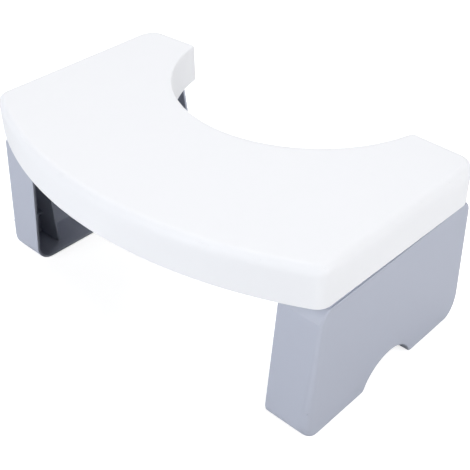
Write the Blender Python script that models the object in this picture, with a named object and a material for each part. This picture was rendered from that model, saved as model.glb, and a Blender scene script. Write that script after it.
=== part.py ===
"""Folding toilet footstool: a white moulded seat on two grey tray-shaped legs that fold in under it.

Metres, +Z up. The origin is on the floor under the middle of the stool's box; -Y is the front edge,
+Y the side with the cut-out that goes round the toilet bowl. Each leg folds inwards about a pair of
pins that lie along Y in the hollow of the seat, just above the top of the leg's open side.
"""
from math import acos, atan2, cos, pi, radians, sin, sqrt

import bmesh
import bpy
from mathutils import Matrix, Vector

# Whole stool
STOOL_HEIGHT = 0.170
CLEARANCE = 0.0003          # gap left between pieces that touch
OVERRUN = 0.004             # how far a cutter runs past the face it cuts
SINK = 0.001                # how far a rib or boss runs into the wall that carries it

# Seat plan
SEAT_DEPTH = 0.2457         # from the front edge on the centre line to the back edge of the horns
SEAT_FRONT = -0.1280        # place of that front edge
SEAT_FRONT_HALF_WIDTH = 0.1929  # where the sides would meet the line of the front
SEAT_FLARE = 0.0034         # the back is wider than that by this much on each side
SEAT_FRONT_RADIUS = 0.404
SEAT_FRONT_CORNER = 0.014
SEAT_HORN_CORNER = 0.018
SEAT_HORN_TIP = 0.0075
HORN_WIDTH = 0.0654         # of each horn at its back edge
BOWL_DEPTH = 0.1072         # how far the bowl cut-out goes in from the back edge

# Seat shell
SKIRT_HEIGHT = 0.0373
SKIRT_WALL = 0.0028
DECK_WALL = 0.0032
TOP_EDGE_RADIUS = 0.0055
RIB_WALL = 0.0018
RIB_PITCH = 0.0375
RIB_RECESS = 0.003          # ribs stop this far above the skirt's lower edge

# Legs, seen from the side
LEG_HEAD_INSET = 0.0008     # from the seat's back edge to the back of the leg's head
LEG_FLARE = 0.01345         # the foot runs out past the head by this much at each end
FOOT_FRONT_CORNER = 0.015
FOOT_BACK_CORNER = 0.021
HEAD_CORNER = 0.0155
ARCH_RADIUS = 0.035
ARCH_RISE = 0.0235
ARCH_TOE_RADIUS = 0.004

# Legs, seen from the front
LEG_INSET = 0.0013          # the head stands this far inside the seat's side
LEG_LEAN = 0.0012           # and the foot this much further in
LEG_FOOT_DEPTH = 0.0424
LEG_HEAD_DEPTH = 0.0410
LEG_WALL = 0.0026
LEG_FOOT_ROUNDING = 0.0085  # of the panel's front and back edges, near the floor
LEG_HEAD_ROUNDING = 0.0020  # of the same edges, near the seat
LEG_RIM_ROUNDING = 0.0016   # of the panel's top and bottom edges and its arch

# Ribs inside a leg
LEG_RIB_WALL = 0.0018
LEG_RIB_INSET = 0.0210      # from each end of the head to a tall rib and the hinge ear on it
LEG_RIB_FOOT_DEPTH = 0.0278
LEG_RIB_HEAD_DEPTH = 0.0245
LEG_SHELF_HEIGHT = 0.031
LEG_SHELF_DEPTH = 0.009
LEG_SHELF_PITCH = 0.040
LEG_SHELF_COUNT = 2

# Hinges
HINGE_INSIDE_RIM = 0.0030   # the axis lies this far inside the rim of the leg's foot
HINGE_RISE = 0.0022         # and less than that above the seat's skirt, so that a folded leg clears it
PIN_RADIUS = 0.0025
PIN_HEAD_RADIUS = 0.0045
PIN_HEAD_LENGTH = 0.0014
PIN_TAIL = 0.0026           # pin end that stands out of the push nut
PIN_CHAMFER = 0.0004
EAR_RADIUS = 0.0055
EAR_LENGTH = 0.0070
EAR_ROOT = 0.012            # how far the top of the ear's arm runs out along the head plate
EAR_GUSSET_DEPTH = 0.024    # the gusset under the head plate, out from the rim
EAR_GUSSET_DROP = 0.018     # and down the rim
LUG_RADIUS = 0.0053
LUG_LENGTH = 0.0045
HINGE_POCKET_MARGIN = 0.002  # room in the rib grid round the ear, the lugs and the pin
NUT_RADIUS = 0.0052
NUT_WALL = 0.0006
NUT_DISH = 0.0011
NUT_TOOTH_COUNT = 6
NUT_SLIT = 0.0011
NUT_SLIT_SHARE = 0.5        # how far out the slits run, from the bore to the rim

# Snap catches
CATCH_INBOARD = 0.0185      # the tongue hangs this far in from the leg's outer panel
CATCH_TONGUE_WALL = 0.0018
CATCH_TONGUE_WIDTH = 0.012
CATCH_TONGUE_REACH = 0.0065  # below the leg's head plate
CATCH_NOSE = 0.0016
CATCH_NOSE_HEIGHT = 0.0032
CATCH_NOSE_SHARE = 0.667    # height of the nose's tip, as a share of the nose's
CATCH_PLATE_WALL = 0.0024
CATCH_PLATE_LENGTH = 0.038
CATCH_PLATE_WIDTH = 0.011
CATCH_PLATE_CORNER = 0.003
CATCH_RISE = 0.0085         # height of the plate's underside over the skirt's lower edge
CATCH_SLOT_MARGIN = 0.0012  # room round the tongue in the leg's head plate
CATCH_POCKET_MARGIN = 0.002
SCREW_END_MARGIN = 0.0055   # from each end of the plate to a screw
SCREW_RADIUS = 0.0014
SCREW_HEAD_RADIUS = 0.0028
SCREW_HEAD_HEIGHT = 0.0019
SCREW_LENGTH = 0.007        # above the plate
SCREW_TIP_ROOM = 0.0017
SCREW_HEAD_FLAT_SHARE = 0.75
SCREW_POINT_SHARE = 0.33
SCREW_RECESS = 0.0008
SCREW_RECESS_RADIUS = 0.0013
SCREW_RECESS_FLOOR_SHARE = 0.5
SCREW_BOSS_RADIUS = 0.0038

# Foot pads
PAD_PROUD = 0.0009          # a pad stands this far out of the leg's foot
PAD_POCKET = 0.0010
PAD_MARGIN = 0.0050         # leg left round a pad
PAD_CORNER = 0.0030
PAD_PEG_RADIUS = 0.0024
PAD_PEG_LENGTH = 0.0048
PAD_PEG_SHARE = 0.28        # places of the two pegs, as a share of the pad's length from its middle

# Smoothness, in straight pieces
FRONT_STEPS = 16
BOWL_STEPS = 22
CORNER_STEPS = 6
EDGE_STEPS = 4
ARCH_STEPS = 16
ROUND_SIDES = 20
SCREW_SIDES = 12

SHARP_EDGE = radians(35)
SIDES = (("left", -1), ("right", 1))

# Levels that several pieces share
SEAT_BACK = SEAT_FRONT + SEAT_DEPTH
SKIRT_LEVEL = STOOL_HEIGHT - SKIRT_HEIGHT
DECK_LEVEL = STOOL_HEIGHT - DECK_WALL
RIB_LEVEL = SKIRT_LEVEL + RIB_RECESS
FOOT_LEVEL = PAD_PROUD
HEAD_LEVEL = SKIRT_LEVEL - CLEARANCE
HEAD_HEIGHT = HEAD_LEVEL - FOOT_LEVEL


def clear_scene():
    for thing in list(bpy.data.objects):
        bpy.data.objects.remove(thing, do_unlink=True)


# Materials

def plastic(name, colour, roughness, metallic=0.0):
    material = bpy.data.materials.new(name)
    material.use_nodes = True
    shader = material.node_tree.nodes["Principled BSDF"]
    shader.inputs["Base Color"].default_value = (*colour, 1.0)
    shader.inputs["Roughness"].default_value = roughness
    shader.inputs["Metallic"].default_value = metallic
    return material


# Outlines: lists of (point, outward normal), run anticlockwise

def arc(centre, radius, start, end, steps, facing=1.0):
    """Stations on an arc; facing is -1 where the solid lies outside the circle."""
    stations = []
    for i in range(steps + 1):
        angle = start + (end - start) * i / steps
        spoke = Vector((cos(angle), sin(angle)))
        stations.append((centre + spoke * radius, spoke * facing))
    return stations


def heading(vector):
    return atan2(vector.y, vector.x)


def edge_normal(a, b):
    along = (b - a).normalized()
    return Vector((along.y, -along.x))


def turn(centre, radius, first_normal, last_normal, steps=CORNER_STEPS):
    """A convex rounding between two normals."""
    start, end = heading(first_normal), heading(last_normal)
    while end < start:
        end += 2 * pi
    return arc(centre, radius, start, end, steps)


def line_corner(before, corner, after, radius):
    first, last = edge_normal(before, corner), edge_normal(corner, after)
    centre = corner - (first + last) * (radius / (1 + first.dot(last)))
    return turn(centre, radius, first, last)


def circle_meets_line(centre, radius, point, normal, towards):
    """The crossing of a circle and a line, on the side that towards points to."""
    distance = (point - centre).dot(normal)
    half_chord = sqrt(radius * radius - distance * distance)
    along = Vector((-normal.y, normal.x))
    if along.dot(towards) < 0:
        along.negate()
    return centre + normal * distance + along * half_chord


def mirrored_half(stations):
    """Close an outline whose first half runs from the centre line to the centre line at +X."""
    other = [(Vector((-p.x, p.y)), Vector((-n.x, n.y))) for p, n in reversed(stations[1:-1])]
    return stations + other


# Plan of the seat at +X: the straight side, the circle of the front and the circle of the bowl
SIDE_FRONT = Vector((SEAT_FRONT_HALF_WIDTH, SEAT_FRONT))
SIDE_BACK = Vector((SEAT_FRONT_HALF_WIDTH + SEAT_FLARE, SEAT_BACK))
SIDE_NORMAL = edge_normal(SIDE_FRONT, SIDE_BACK)
FRONT_CENTRE = Vector((0, SEAT_FRONT + SEAT_FRONT_RADIUS))
BOWL_HALF_MOUTH = SIDE_BACK.x - HORN_WIDTH
BOWL_RADIUS = (BOWL_HALF_MOUTH * BOWL_HALF_MOUTH + BOWL_DEPTH * BOWL_DEPTH) / (2 * BOWL_DEPTH)
BOWL_CENTRE = Vector((0, SEAT_BACK - BOWL_DEPTH + BOWL_RADIUS))


def seat_outline():
    corner = circle_meets_line(FRONT_CENTRE, SEAT_FRONT_RADIUS - SEAT_FRONT_CORNER,
                               SIDE_FRONT - SIDE_NORMAL * SEAT_FRONT_CORNER, SIDE_NORMAL, Vector((0, -1)))
    corner_normal = (corner - FRONT_CENTRE).normalized()
    tip = circle_meets_line(BOWL_CENTRE, BOWL_RADIUS + SEAT_HORN_TIP,
                            Vector((0, SEAT_BACK - SEAT_HORN_TIP)), Vector((0, 1)), Vector((1, 0)))
    tip_normal = (BOWL_CENTRE - tip).normalized()

    stations = arc(FRONT_CENTRE, SEAT_FRONT_RADIUS, -pi / 2, heading(corner_normal), FRONT_STEPS)[:-1]
    stations += turn(corner, SEAT_FRONT_CORNER, corner_normal, SIDE_NORMAL)
    stations += line_corner(SIDE_FRONT, SIDE_BACK, Vector((0, SEAT_BACK)), SEAT_HORN_CORNER)
    stations += turn(tip, SEAT_HORN_TIP, Vector((0, 1)), tip_normal)[:-1]
    stations += arc(BOWL_CENTRE, BOWL_RADIUS, heading(tip - BOWL_CENTRE), -pi / 2, BOWL_STEPS, -1.0)
    return mirrored_half(stations)


# A leg from the side: its head runs along the straight side of the seat
LEG_HEAD_FRONT = circle_meets_line(FRONT_CENTRE, SEAT_FRONT_RADIUS, SIDE_FRONT, SIDE_NORMAL,
                                   Vector((0, -1))).y
LEG_HEAD_BACK = SEAT_BACK - LEG_HEAD_INSET
LEG_CENTRE = (LEG_HEAD_FRONT + LEG_HEAD_BACK) / 2
LEG_FRONT = LEG_HEAD_FRONT - LEG_FLARE
LEG_BACK = LEG_HEAD_BACK + LEG_FLARE


def leg_outline():
    """A leg from the side, in (Y, Z)."""
    foot_front, foot_back = Vector((LEG_FRONT, FOOT_LEVEL)), Vector((LEG_BACK, FOOT_LEVEL))
    head_front = Vector((LEG_HEAD_FRONT, HEAD_LEVEL))
    head_back = Vector((LEG_HEAD_BACK, HEAD_LEVEL))
    arch_centre = Vector((LEG_CENTRE, FOOT_LEVEL + ARCH_RISE - ARCH_RADIUS))
    down = Vector((0, -1))

    toe = circle_meets_line(arch_centre, ARCH_RADIUS + ARCH_TOE_RADIUS,
                            Vector((0, FOOT_LEVEL + ARCH_TOE_RADIUS)), down, Vector((-1, 0)))
    heel = Vector((2 * LEG_CENTRE - toe.x, toe.y))

    stations = line_corner(head_front, foot_front, foot_back, FOOT_FRONT_CORNER)
    stations += turn(toe, ARCH_TOE_RADIUS, down, arch_centre - toe)[:-1]
    stations += arc(arch_centre, ARCH_RADIUS, heading(toe - arch_centre), heading(heel - arch_centre),
                    ARCH_STEPS, -1.0)[:-1]
    stations += turn(heel, ARCH_TOE_RADIUS, arch_centre - heel, down)
    stations += line_corner(foot_front, foot_back, head_back, FOOT_BACK_CORNER)
    stations += line_corner(foot_back, head_back, head_front, HEAD_CORNER)
    stations += line_corner(head_back, head_front, foot_front, HEAD_CORNER)
    return stations


def inset(stations, distance):
    return [point - normal * distance for point, normal in stations]


# Meshes

def add_object(name, build, material=None, parent=None):
    """Make an object from a bmesh built in world places; a parent empty becomes its origin."""
    mesh = bpy.data.meshes.new(name)
    form = bmesh.new()
    build(form)
    bmesh.ops.recalc_face_normals(form, faces=form.faces)
    form.to_mesh(mesh)
    form.free()
    thing = bpy.data.objects.new(name, mesh)
    bpy.context.scene.collection.objects.link(thing)
    if material:
        mesh.materials.append(material)
    if parent:
        mesh.transform(Matrix.Translation(-parent.location))
        thing.parent = parent
    mesh.shade_smooth()
    mesh.set_sharp_from_angle(angle=SHARP_EDGE)
    return thing


def loft(form, rings):
    """Skin a row of rings of equal length and close both ends."""
    loops = [[form.verts.new(point) for point in ring] for ring in rings]
    count = len(loops[0])
    for lower, upper in zip(loops, loops[1:]):
        for i in range(count):
            j = (i + 1) % count
            form.faces.new((lower[i], lower[j], upper[j], upper[i]))
    form.faces.new(loops[0])
    form.faces.new(loops[-1])


def block(form, low, high):
    corners = ((low[0], low[1]), (high[0], low[1]), (high[0], high[1]), (low[0], high[1]))
    loft(form, [[Vector((x, y, z)) for x, y in corners] for z in (low[2], high[2])])


def turned(form, origin, axis, profile, sides=ROUND_SIDES):
    """A round piece about axis from origin; profile is (distance along, radius)."""
    along = axis.normalized()
    first = along.orthogonal().normalized()
    second = along.cross(first)
    rings = []
    for distance, radius in profile:
        ring = []
        for i in range(sides):
            angle = 2 * pi * i / sides
            ring.append(origin + along * distance + (first * cos(angle) + second * sin(angle)) * radius)
        rings.append(ring)
    loft(form, rings)


def hole(form, start, axis, depth, pin_radius):
    """A cutter for the bore of a round piece that fits with the usual clearance."""
    turned(form, start, axis, ((0, pin_radius + CLEARANCE), (depth, pin_radius + CLEARANCE)))


def prism(form, outline, to_low, to_high):
    """Extrude a flat outline between two places; each turns an outline point into a 3-D one."""
    loft(form, [[to_low(point) for point in outline], [to_high(point) for point in outline]])


def combine(target, tool, operation):
    """Leave a live Boolean on target; the tool is kept as a hidden guide."""
    modifier = target.modifiers.new(tool.name, "BOOLEAN")
    modifier.operation = operation
    modifier.solver = "EXACT"
    modifier.object = tool
    tool.hide_render = True
    tool.display_type = "WIRE"


def rounded_rectangle(centre, length_x, length_y, corner):
    low = Vector((centre[0] - length_x / 2, centre[1] - length_y / 2))
    high = Vector((centre[0] + length_x / 2, centre[1] + length_y / 2))
    points = [low, Vector((high.x, low.y)), high, Vector((low.x, high.y))]
    outline = []
    for i, point in enumerate(points):
        outline += line_corner(points[i - 1], point, points[(i + 1) % len(points)], corner)
    return inset(outline, 0)


# Places on a leg, for the side at +X
LEG_HEAD_HALF_WIDTH = SIDE_FRONT.x + SEAT_FLARE * (LEG_CENTRE - SEAT_FRONT) / SEAT_DEPTH - LEG_INSET


def leg_outer(z):
    return LEG_HEAD_HALF_WIDTH - LEG_LEAN * (HEAD_LEVEL - z) / HEAD_HEIGHT


def leg_rim(z):
    share = (z - FOOT_LEVEL) / HEAD_HEIGHT
    return leg_outer(z) - LEG_FOOT_DEPTH - (LEG_HEAD_DEPTH - LEG_FOOT_DEPTH) * share


# The hinge axis, clear of the rim at the foot when folded and of the rim at the head always
HINGE_X = min(leg_rim(FOOT_LEVEL) - HINGE_INSIDE_RIM, leg_rim(HEAD_LEVEL) - LUG_RADIUS - CLEARANCE)
HINGE_Z = SKIRT_LEVEL + HINGE_RISE

# The two hinges of a leg: the middle of the ear, and the way from the pin's head to its tail
HINGES = (
    ("front", LEG_HEAD_FRONT + LEG_RIB_INSET, -1),
    ("rear", LEG_HEAD_BACK - LEG_RIB_INSET, 1),
)
LUG_NEAR = EAR_LENGTH / 2 + CLEARANCE
LUG_FAR = LUG_NEAR + LUG_LENGTH
PIN_END = LUG_FAR + CLEARANCE + NUT_DISH + PIN_TAIL


def along_hinge(side, middle, way, distance):
    """The place on a hinge's axis that lies this far from the ear's middle, towards the pin's tail."""
    return Vector((side * HINGE_X, middle + way * distance, HINGE_Z))


# Catches: the middle of the tongue, and the level of the plate that carries it
CATCH_X = leg_outer(HEAD_LEVEL) - CATCH_INBOARD
CATCH_LEVEL = SKIRT_LEVEL + CATCH_RISE
CATCH_TOP = CATCH_LEVEL + CATCH_PLATE_WALL
CATCH_TIP = HEAD_LEVEL - LEG_WALL - CATCH_TONGUE_REACH
NOSE_TIP = Vector((CATCH_X + CATCH_TONGUE_WALL / 2 + CATCH_NOSE,
                   CATCH_TIP + CATCH_NOSE_HEIGHT * CATCH_NOSE_SHARE))
SCREW_REACH = CATCH_PLATE_LENGTH / 2 - SCREW_END_MARGIN
SCREW_PLACES = (LEG_CENTRE - SCREW_REACH, LEG_CENTRE + SCREW_REACH)

# The slot in the head plate: the nose swings out through it on a circle about the hinge
CATCH_SLOT_INNER = CATCH_X - CATCH_TONGUE_WALL / 2 - CATCH_SLOT_MARGIN
CATCH_SLOT_OUTER = HINGE_X + (NOSE_TIP - Vector((HINGE_X, HINGE_Z))).length + CLEARANCE


# Seat

def seat_section(form):
    """The open shell in one skin: under the deck, down inside the skirt, up outside, over the top."""
    outline = seat_outline()
    rings = [[point.to_3d() + Vector((0, 0, level)) for point in inset(outline, distance)]
             for distance, level in ((SKIRT_WALL, DECK_LEVEL), (SKIRT_WALL, SKIRT_LEVEL), (0, SKIRT_LEVEL))]
    for i in range(EDGE_STEPS + 1):
        angle = pi / 2 * i / EDGE_STEPS
        level = STOOL_HEIGHT - TOP_EDGE_RADIUS * (1 - sin(angle))
        rings.append([point.to_3d() + Vector((0, 0, level))
                      for point in inset(outline, TOP_EDGE_RADIUS * (1 - cos(angle)))])
    loft(form, rings)


def rib_core(form):
    outline = inset(seat_outline(), SKIRT_WALL - SINK)
    prism(form, outline, lambda p: p.to_3d() + Vector((0, 0, RIB_LEVEL)),
          lambda p: p.to_3d() + Vector((0, 0, DECK_LEVEL + SINK)))


def rib_places(low, high, middle):
    """Even places about middle, out to both limits."""
    first = -int((middle - low) / RIB_PITCH)
    last = int((high - middle) / RIB_PITCH)
    return [middle + i * RIB_PITCH for i in range(first, last + 1)]


def ribs_along(form, across):
    """Thin plates on one direction of the grid; across is 0 for plates that stand across X."""
    low, high = (-SIDE_BACK.x, SEAT_FRONT), (SIDE_BACK.x, SEAT_BACK)
    middle = (0, LEG_CENTRE + RIB_PITCH / 2)
    for place in rib_places(low[across], high[across], middle[across]):
        start = [low[0] - OVERRUN, low[1] - OVERRUN, RIB_LEVEL - OVERRUN]
        end = [high[0] + OVERRUN, high[1] + OVERRUN, STOOL_HEIGHT]
        start[across] = place - RIB_WALL / 2
        end[across] = place + RIB_WALL / 2
        block(form, start, end)


def lug_post(form, side, middle, distance):
    """A post under the deck with a round end about the hinge axis, starting at distance from middle."""
    top = DECK_LEVEL + SINK
    outline = [Vector((HINGE_X + LUG_RADIUS, top)), Vector((HINGE_X - LUG_RADIUS, top))]
    outline += [p for p, _ in arc(Vector((HINGE_X, HINGE_Z)), LUG_RADIUS, pi, 2 * pi, 2 * CORNER_STEPS)]
    prism(form, outline, lambda p: Vector((side * p.x, middle + distance, p.y)),
          lambda p: Vector((side * p.x, middle + distance + LUG_LENGTH, p.y)))


def hinge_pocket(form, side, middle, way):
    """Room for the lugs, the ear and its arm, and for the pin to go in from the head's end."""
    low_x = HINGE_X - LUG_RADIUS - HINGE_POCKET_MARGIN
    high_x = leg_rim(HEAD_LEVEL) + EAR_ROOT + HINGE_POCKET_MARGIN
    xs = sorted((side * low_x, side * high_x))
    pin_out = LUG_FAR + LUG_FAR + PIN_END + HINGE_POCKET_MARGIN
    ys = sorted((middle - way * pin_out, middle + way * (PIN_END + HINGE_POCKET_MARGIN)))
    block(form, (xs[0], ys[0], RIB_LEVEL - OVERRUN),
          (xs[1], ys[1], HINGE_Z + max(EAR_RADIUS, NUT_RADIUS) + HINGE_POCKET_MARGIN))


def make_seat(material):
    seat = add_object("seat_shell", seat_section, material)
    grid = add_object("rib_grid", lambda form: ribs_along(form, 0))
    combine(grid, add_object("rib_grid_across", lambda form: ribs_along(form, 1)), "UNION")

    def pockets(form):
        for _, side in SIDES:
            half_x = CATCH_PLATE_WIDTH / 2 + CATCH_POCKET_MARGIN
            half_y = CATCH_PLATE_LENGTH / 2 + CATCH_POCKET_MARGIN
            block(form, (side * CATCH_X - half_x, LEG_CENTRE - half_y, RIB_LEVEL - OVERRUN),
                  (side * CATCH_X + half_x, LEG_CENTRE + half_y, CATCH_TOP + CLEARANCE))
            for _, middle, way in HINGES:
                hinge_pocket(form, side, middle, way)

    combine(grid, add_object("grid_pockets", pockets), "DIFFERENCE")
    combine(grid, add_object("rib_core", rib_core), "INTERSECT")
    combine(seat, grid, "UNION")

    def posts(form):
        for _, side in SIDES:
            for _, middle, _ in HINGES:
                lug_post(form, side, middle, LUG_NEAR)
                lug_post(form, side, middle, -LUG_FAR)
            for y in SCREW_PLACES:
                start = Vector((side * CATCH_X, y, CATCH_TOP + CLEARANCE))
                turned(form, start, Vector((0, 0, 1)),
                       ((0, SCREW_BOSS_RADIUS), (DECK_LEVEL + SINK - start.z, SCREW_BOSS_RADIUS)))

    combine(seat, add_object("seat_posts", posts), "UNION")

    def holes(form):
        for _, side in SIDES:
            for _, middle, way in HINGES:
                start = along_hinge(side, middle, way, -LUG_FAR - OVERRUN)
                hole(form, start, Vector((0, way, 0)), 2 * (LUG_FAR + OVERRUN), PIN_RADIUS)
            for y in SCREW_PLACES:
                start = Vector((side * CATCH_X, y, CATCH_TOP - OVERRUN))
                hole(form, start, Vector((0, 0, 1)), OVERRUN + SCREW_LENGTH + SCREW_TIP_ROOM, SCREW_RADIUS)

    combine(seat, add_object("seat_holes", holes), "DIFFERENCE")


# Legs

def edge_rounding(point, normal):
    """Large on the panel's front and back edges, dwindling from foot to head; small elsewhere."""
    if LEG_HEAD_FRONT + LEG_RIB_INSET < point.x < LEG_HEAD_BACK - LEG_RIB_INSET:
        return LEG_RIM_ROUNDING
    share = (point.y - FOOT_LEVEL) / HEAD_HEIGHT
    flank = LEG_FOOT_ROUNDING + (LEG_HEAD_ROUNDING - LEG_FOOT_ROUNDING) * share
    return LEG_RIM_ROUNDING + (flank - LEG_RIM_ROUNDING) * normal.x * normal.x


def leg_section(form, side):
    """The tray in one skin: inside of the panel, inside of the walls, rim, outside, rounded edge."""
    outline = leg_outline()
    roundings = [edge_rounding(point, normal) for point, normal in outline]

    def place(point, x):
        return Vector((side * x, point.x, point.y))

    inner = inset(outline, LEG_WALL)
    outer = inset(outline, 0)
    rings = [[place(p, leg_outer(p.y) - LEG_WALL) for p in inner],
             [place(p, leg_rim(p.y)) for p in inner],
             [place(p, leg_rim(p.y)) for p in outer]]
    for i in range(EDGE_STEPS + 1):
        angle = pi / 2 * i / EDGE_STEPS
        ring = []
        for (point, normal), rounding in zip(outline, roundings):
            moved = point - normal * rounding * (1 - cos(angle))
            ring.append(place(moved, leg_outer(moved.y) - rounding * (1 - sin(angle))))
        rings.append(ring)
    loft(form, rings)


def leg_core(form, side):
    """The room inside a leg's walls, a little larger, that trims its ribs."""
    outline = inset(leg_outline(), LEG_WALL - SINK)
    prism(form, outline, lambda p: Vector((side * leg_rim(p.y), p.x, p.y)),
          lambda p: Vector((side * (leg_outer(p.y) - LEG_WALL + SINK), p.x, p.y)))


def tall_ribs(form, side):
    """Upright ribs from the foot to the head plate, one behind each ear."""
    foot, head = FOOT_LEVEL, HEAD_LEVEL
    for _, middle, _ in HINGES:
        outline = [Vector((leg_outer(foot), foot)), Vector((leg_outer(head), head)),
                   Vector((leg_outer(head) - LEG_WALL - LEG_RIB_HEAD_DEPTH, head)),
                   Vector((leg_outer(foot) - LEG_WALL - LEG_RIB_FOOT_DEPTH, foot))]
        prism(form, outline, lambda p: Vector((side * p.x, middle - LEG_RIB_WALL / 2, p.y)),
              lambda p: Vector((side * p.x, middle + LEG_RIB_WALL / 2, p.y)))


def shelf_ribs(form, side):
    """Low ribs along the leg, above the arch."""
    for i in range(LEG_SHELF_COUNT):
        z = LEG_SHELF_HEIGHT + i * LEG_SHELF_PITCH
        outer = leg_outer(z)
        xs = sorted((side * outer, side * (outer - LEG_WALL - LEG_SHELF_DEPTH)))
        block(form, (xs[0], LEG_FRONT, z - LEG_RIB_WALL / 2), (xs[1], LEG_BACK, z + LEG_RIB_WALL / 2))


def ear(form, side, middle):
    """A plate with a round end about the hinge axis, an arm to the head plate and a gusset under it."""
    axis = Vector((HINGE_X, HINGE_Z))
    rim = leg_rim(HEAD_LEVEL)
    root = Vector((rim + EAR_ROOT, HEAD_LEVEL - LEG_WALL / 2))
    corner = Vector((rim + EAR_GUSSET_DEPTH, HEAD_LEVEL - LEG_WALL / 2))
    low = Vector((leg_rim(HEAD_LEVEL - EAR_GUSSET_DROP), HEAD_LEVEL - EAR_GUSSET_DROP))
    start = heading(root - axis) + acos(EAR_RADIUS / (root - axis).length)
    end = heading(low - axis) - acos(EAR_RADIUS / (low - axis).length) + 2 * pi
    outline = [point for point, _ in arc(axis, EAR_RADIUS, start, end, 2 * CORNER_STEPS)]
    outline += [low, corner, root]
    prism(form, outline, lambda p: Vector((side * p.x, middle - EAR_LENGTH / 2, p.y)),
          lambda p: Vector((side * p.x, middle + EAR_LENGTH / 2, p.y)))


def pad_span(sign):
    """Ends along Y of the foot face in front of the arch or behind it, and its middle."""
    half_arch = sqrt((ARCH_RADIUS + ARCH_TOE_RADIUS) ** 2
                     - (ARCH_RADIUS - ARCH_RISE + ARCH_TOE_RADIUS) ** 2)
    corner = FOOT_FRONT_CORNER if sign < 0 else FOOT_BACK_CORNER
    outer = (LEG_BACK - LEG_FRONT) / 2 - corner
    near, far = half_arch + PAD_MARGIN / 2, outer - PAD_MARGIN / 2
    return LEG_CENTRE + sign * (near + far) / 2, far - near


def pad_plan(side, sign, grow):
    """A pad's outline in (X, Y)."""
    centre_y, length = pad_span(sign)
    low, high = leg_rim(FOOT_LEVEL) + PAD_MARGIN, leg_outer(FOOT_LEVEL) - PAD_MARGIN
    return rounded_rectangle((side * (low + high) / 2, centre_y),
                             high - low + 2 * grow, length + 2 * grow, PAD_CORNER + grow)


def pad_pegs(side, sign):
    centre_y, length = pad_span(sign)
    x = side * (leg_rim(FOOT_LEVEL) + leg_outer(FOOT_LEVEL)) / 2
    return [Vector((x, centre_y + share * length, 0)) for share in (-PAD_PEG_SHARE, PAD_PEG_SHARE)]


def make_leg(name, side, material, axis):
    leg = add_object(f"leg_{name}", lambda form: leg_section(form, side), material, axis)
    ribs = add_object(f"leg_ribs_{name}", lambda form: tall_ribs(form, side))
    combine(ribs, add_object(f"leg_shelves_{name}", lambda form: shelf_ribs(form, side)), "UNION")
    combine(ribs, add_object(f"leg_core_{name}", lambda form: leg_core(form, side)), "INTERSECT")
    combine(leg, ribs, "UNION")

    def ears(form):
        for _, middle, _ in HINGES:
            ear(form, side, middle)

    combine(leg, add_object(f"leg_ears_{name}", ears), "UNION")

    def cuts(form):
        for _, middle, way in HINGES:
            start = along_hinge(side, middle, way, -EAR_LENGTH)
            hole(form, start, Vector((0, way, 0)), 2 * EAR_LENGTH, PIN_RADIUS)
        xs = sorted((side * CATCH_SLOT_INNER, side * CATCH_SLOT_OUTER))
        half_y = CATCH_TONGUE_WIDTH / 2 + CATCH_SLOT_MARGIN
        block(form, (xs[0], LEG_CENTRE - half_y, HEAD_LEVEL - LEG_WALL - OVERRUN),
              (xs[1], LEG_CENTRE + half_y, HEAD_LEVEL + OVERRUN))

    combine(leg, add_object(f"leg_cuts_{name}", cuts), "DIFFERENCE")

    def sockets(form):
        for sign in (-1, 1):
            prism(form, pad_plan(side, sign, CLEARANCE), lambda p: p.to_3d() + Vector((0, 0, -OVERRUN)),
                  lambda p: p.to_3d() + Vector((0, 0, FOOT_LEVEL + PAD_POCKET)))

    def peg_holes(form):
        for sign in (-1, 1):
            for place in pad_pegs(side, sign):
                hole(form, place, Vector((0, 0, 1)), FOOT_LEVEL + LEG_WALL + OVERRUN, PAD_PEG_RADIUS)

    combine(leg, add_object(f"pad_sockets_{name}", sockets), "DIFFERENCE")
    combine(leg, add_object(f"pad_peg_holes_{name}", peg_holes), "DIFFERENCE")


# Small pieces

def make_pin(name, side, middle, way, material):
    """A headed steel pin through a lug, the leg's ear and the other lug."""
    start = along_hinge(side, middle, way, -LUG_FAR - CLEARANCE)
    length = LUG_FAR + CLEARANCE + PIN_END
    profile = (
        (-PIN_HEAD_LENGTH, PIN_HEAD_RADIUS - PIN_CHAMFER),
        (PIN_CHAMFER - PIN_HEAD_LENGTH, PIN_HEAD_RADIUS),
        (0, PIN_HEAD_RADIUS),
        (0, PIN_RADIUS),
        (length - PIN_CHAMFER, PIN_RADIUS),
        (length, PIN_RADIUS - PIN_CHAMFER),
    )
    add_object(name, lambda form: turned(form, start, Vector((0, way, 0)), profile), material)


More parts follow.
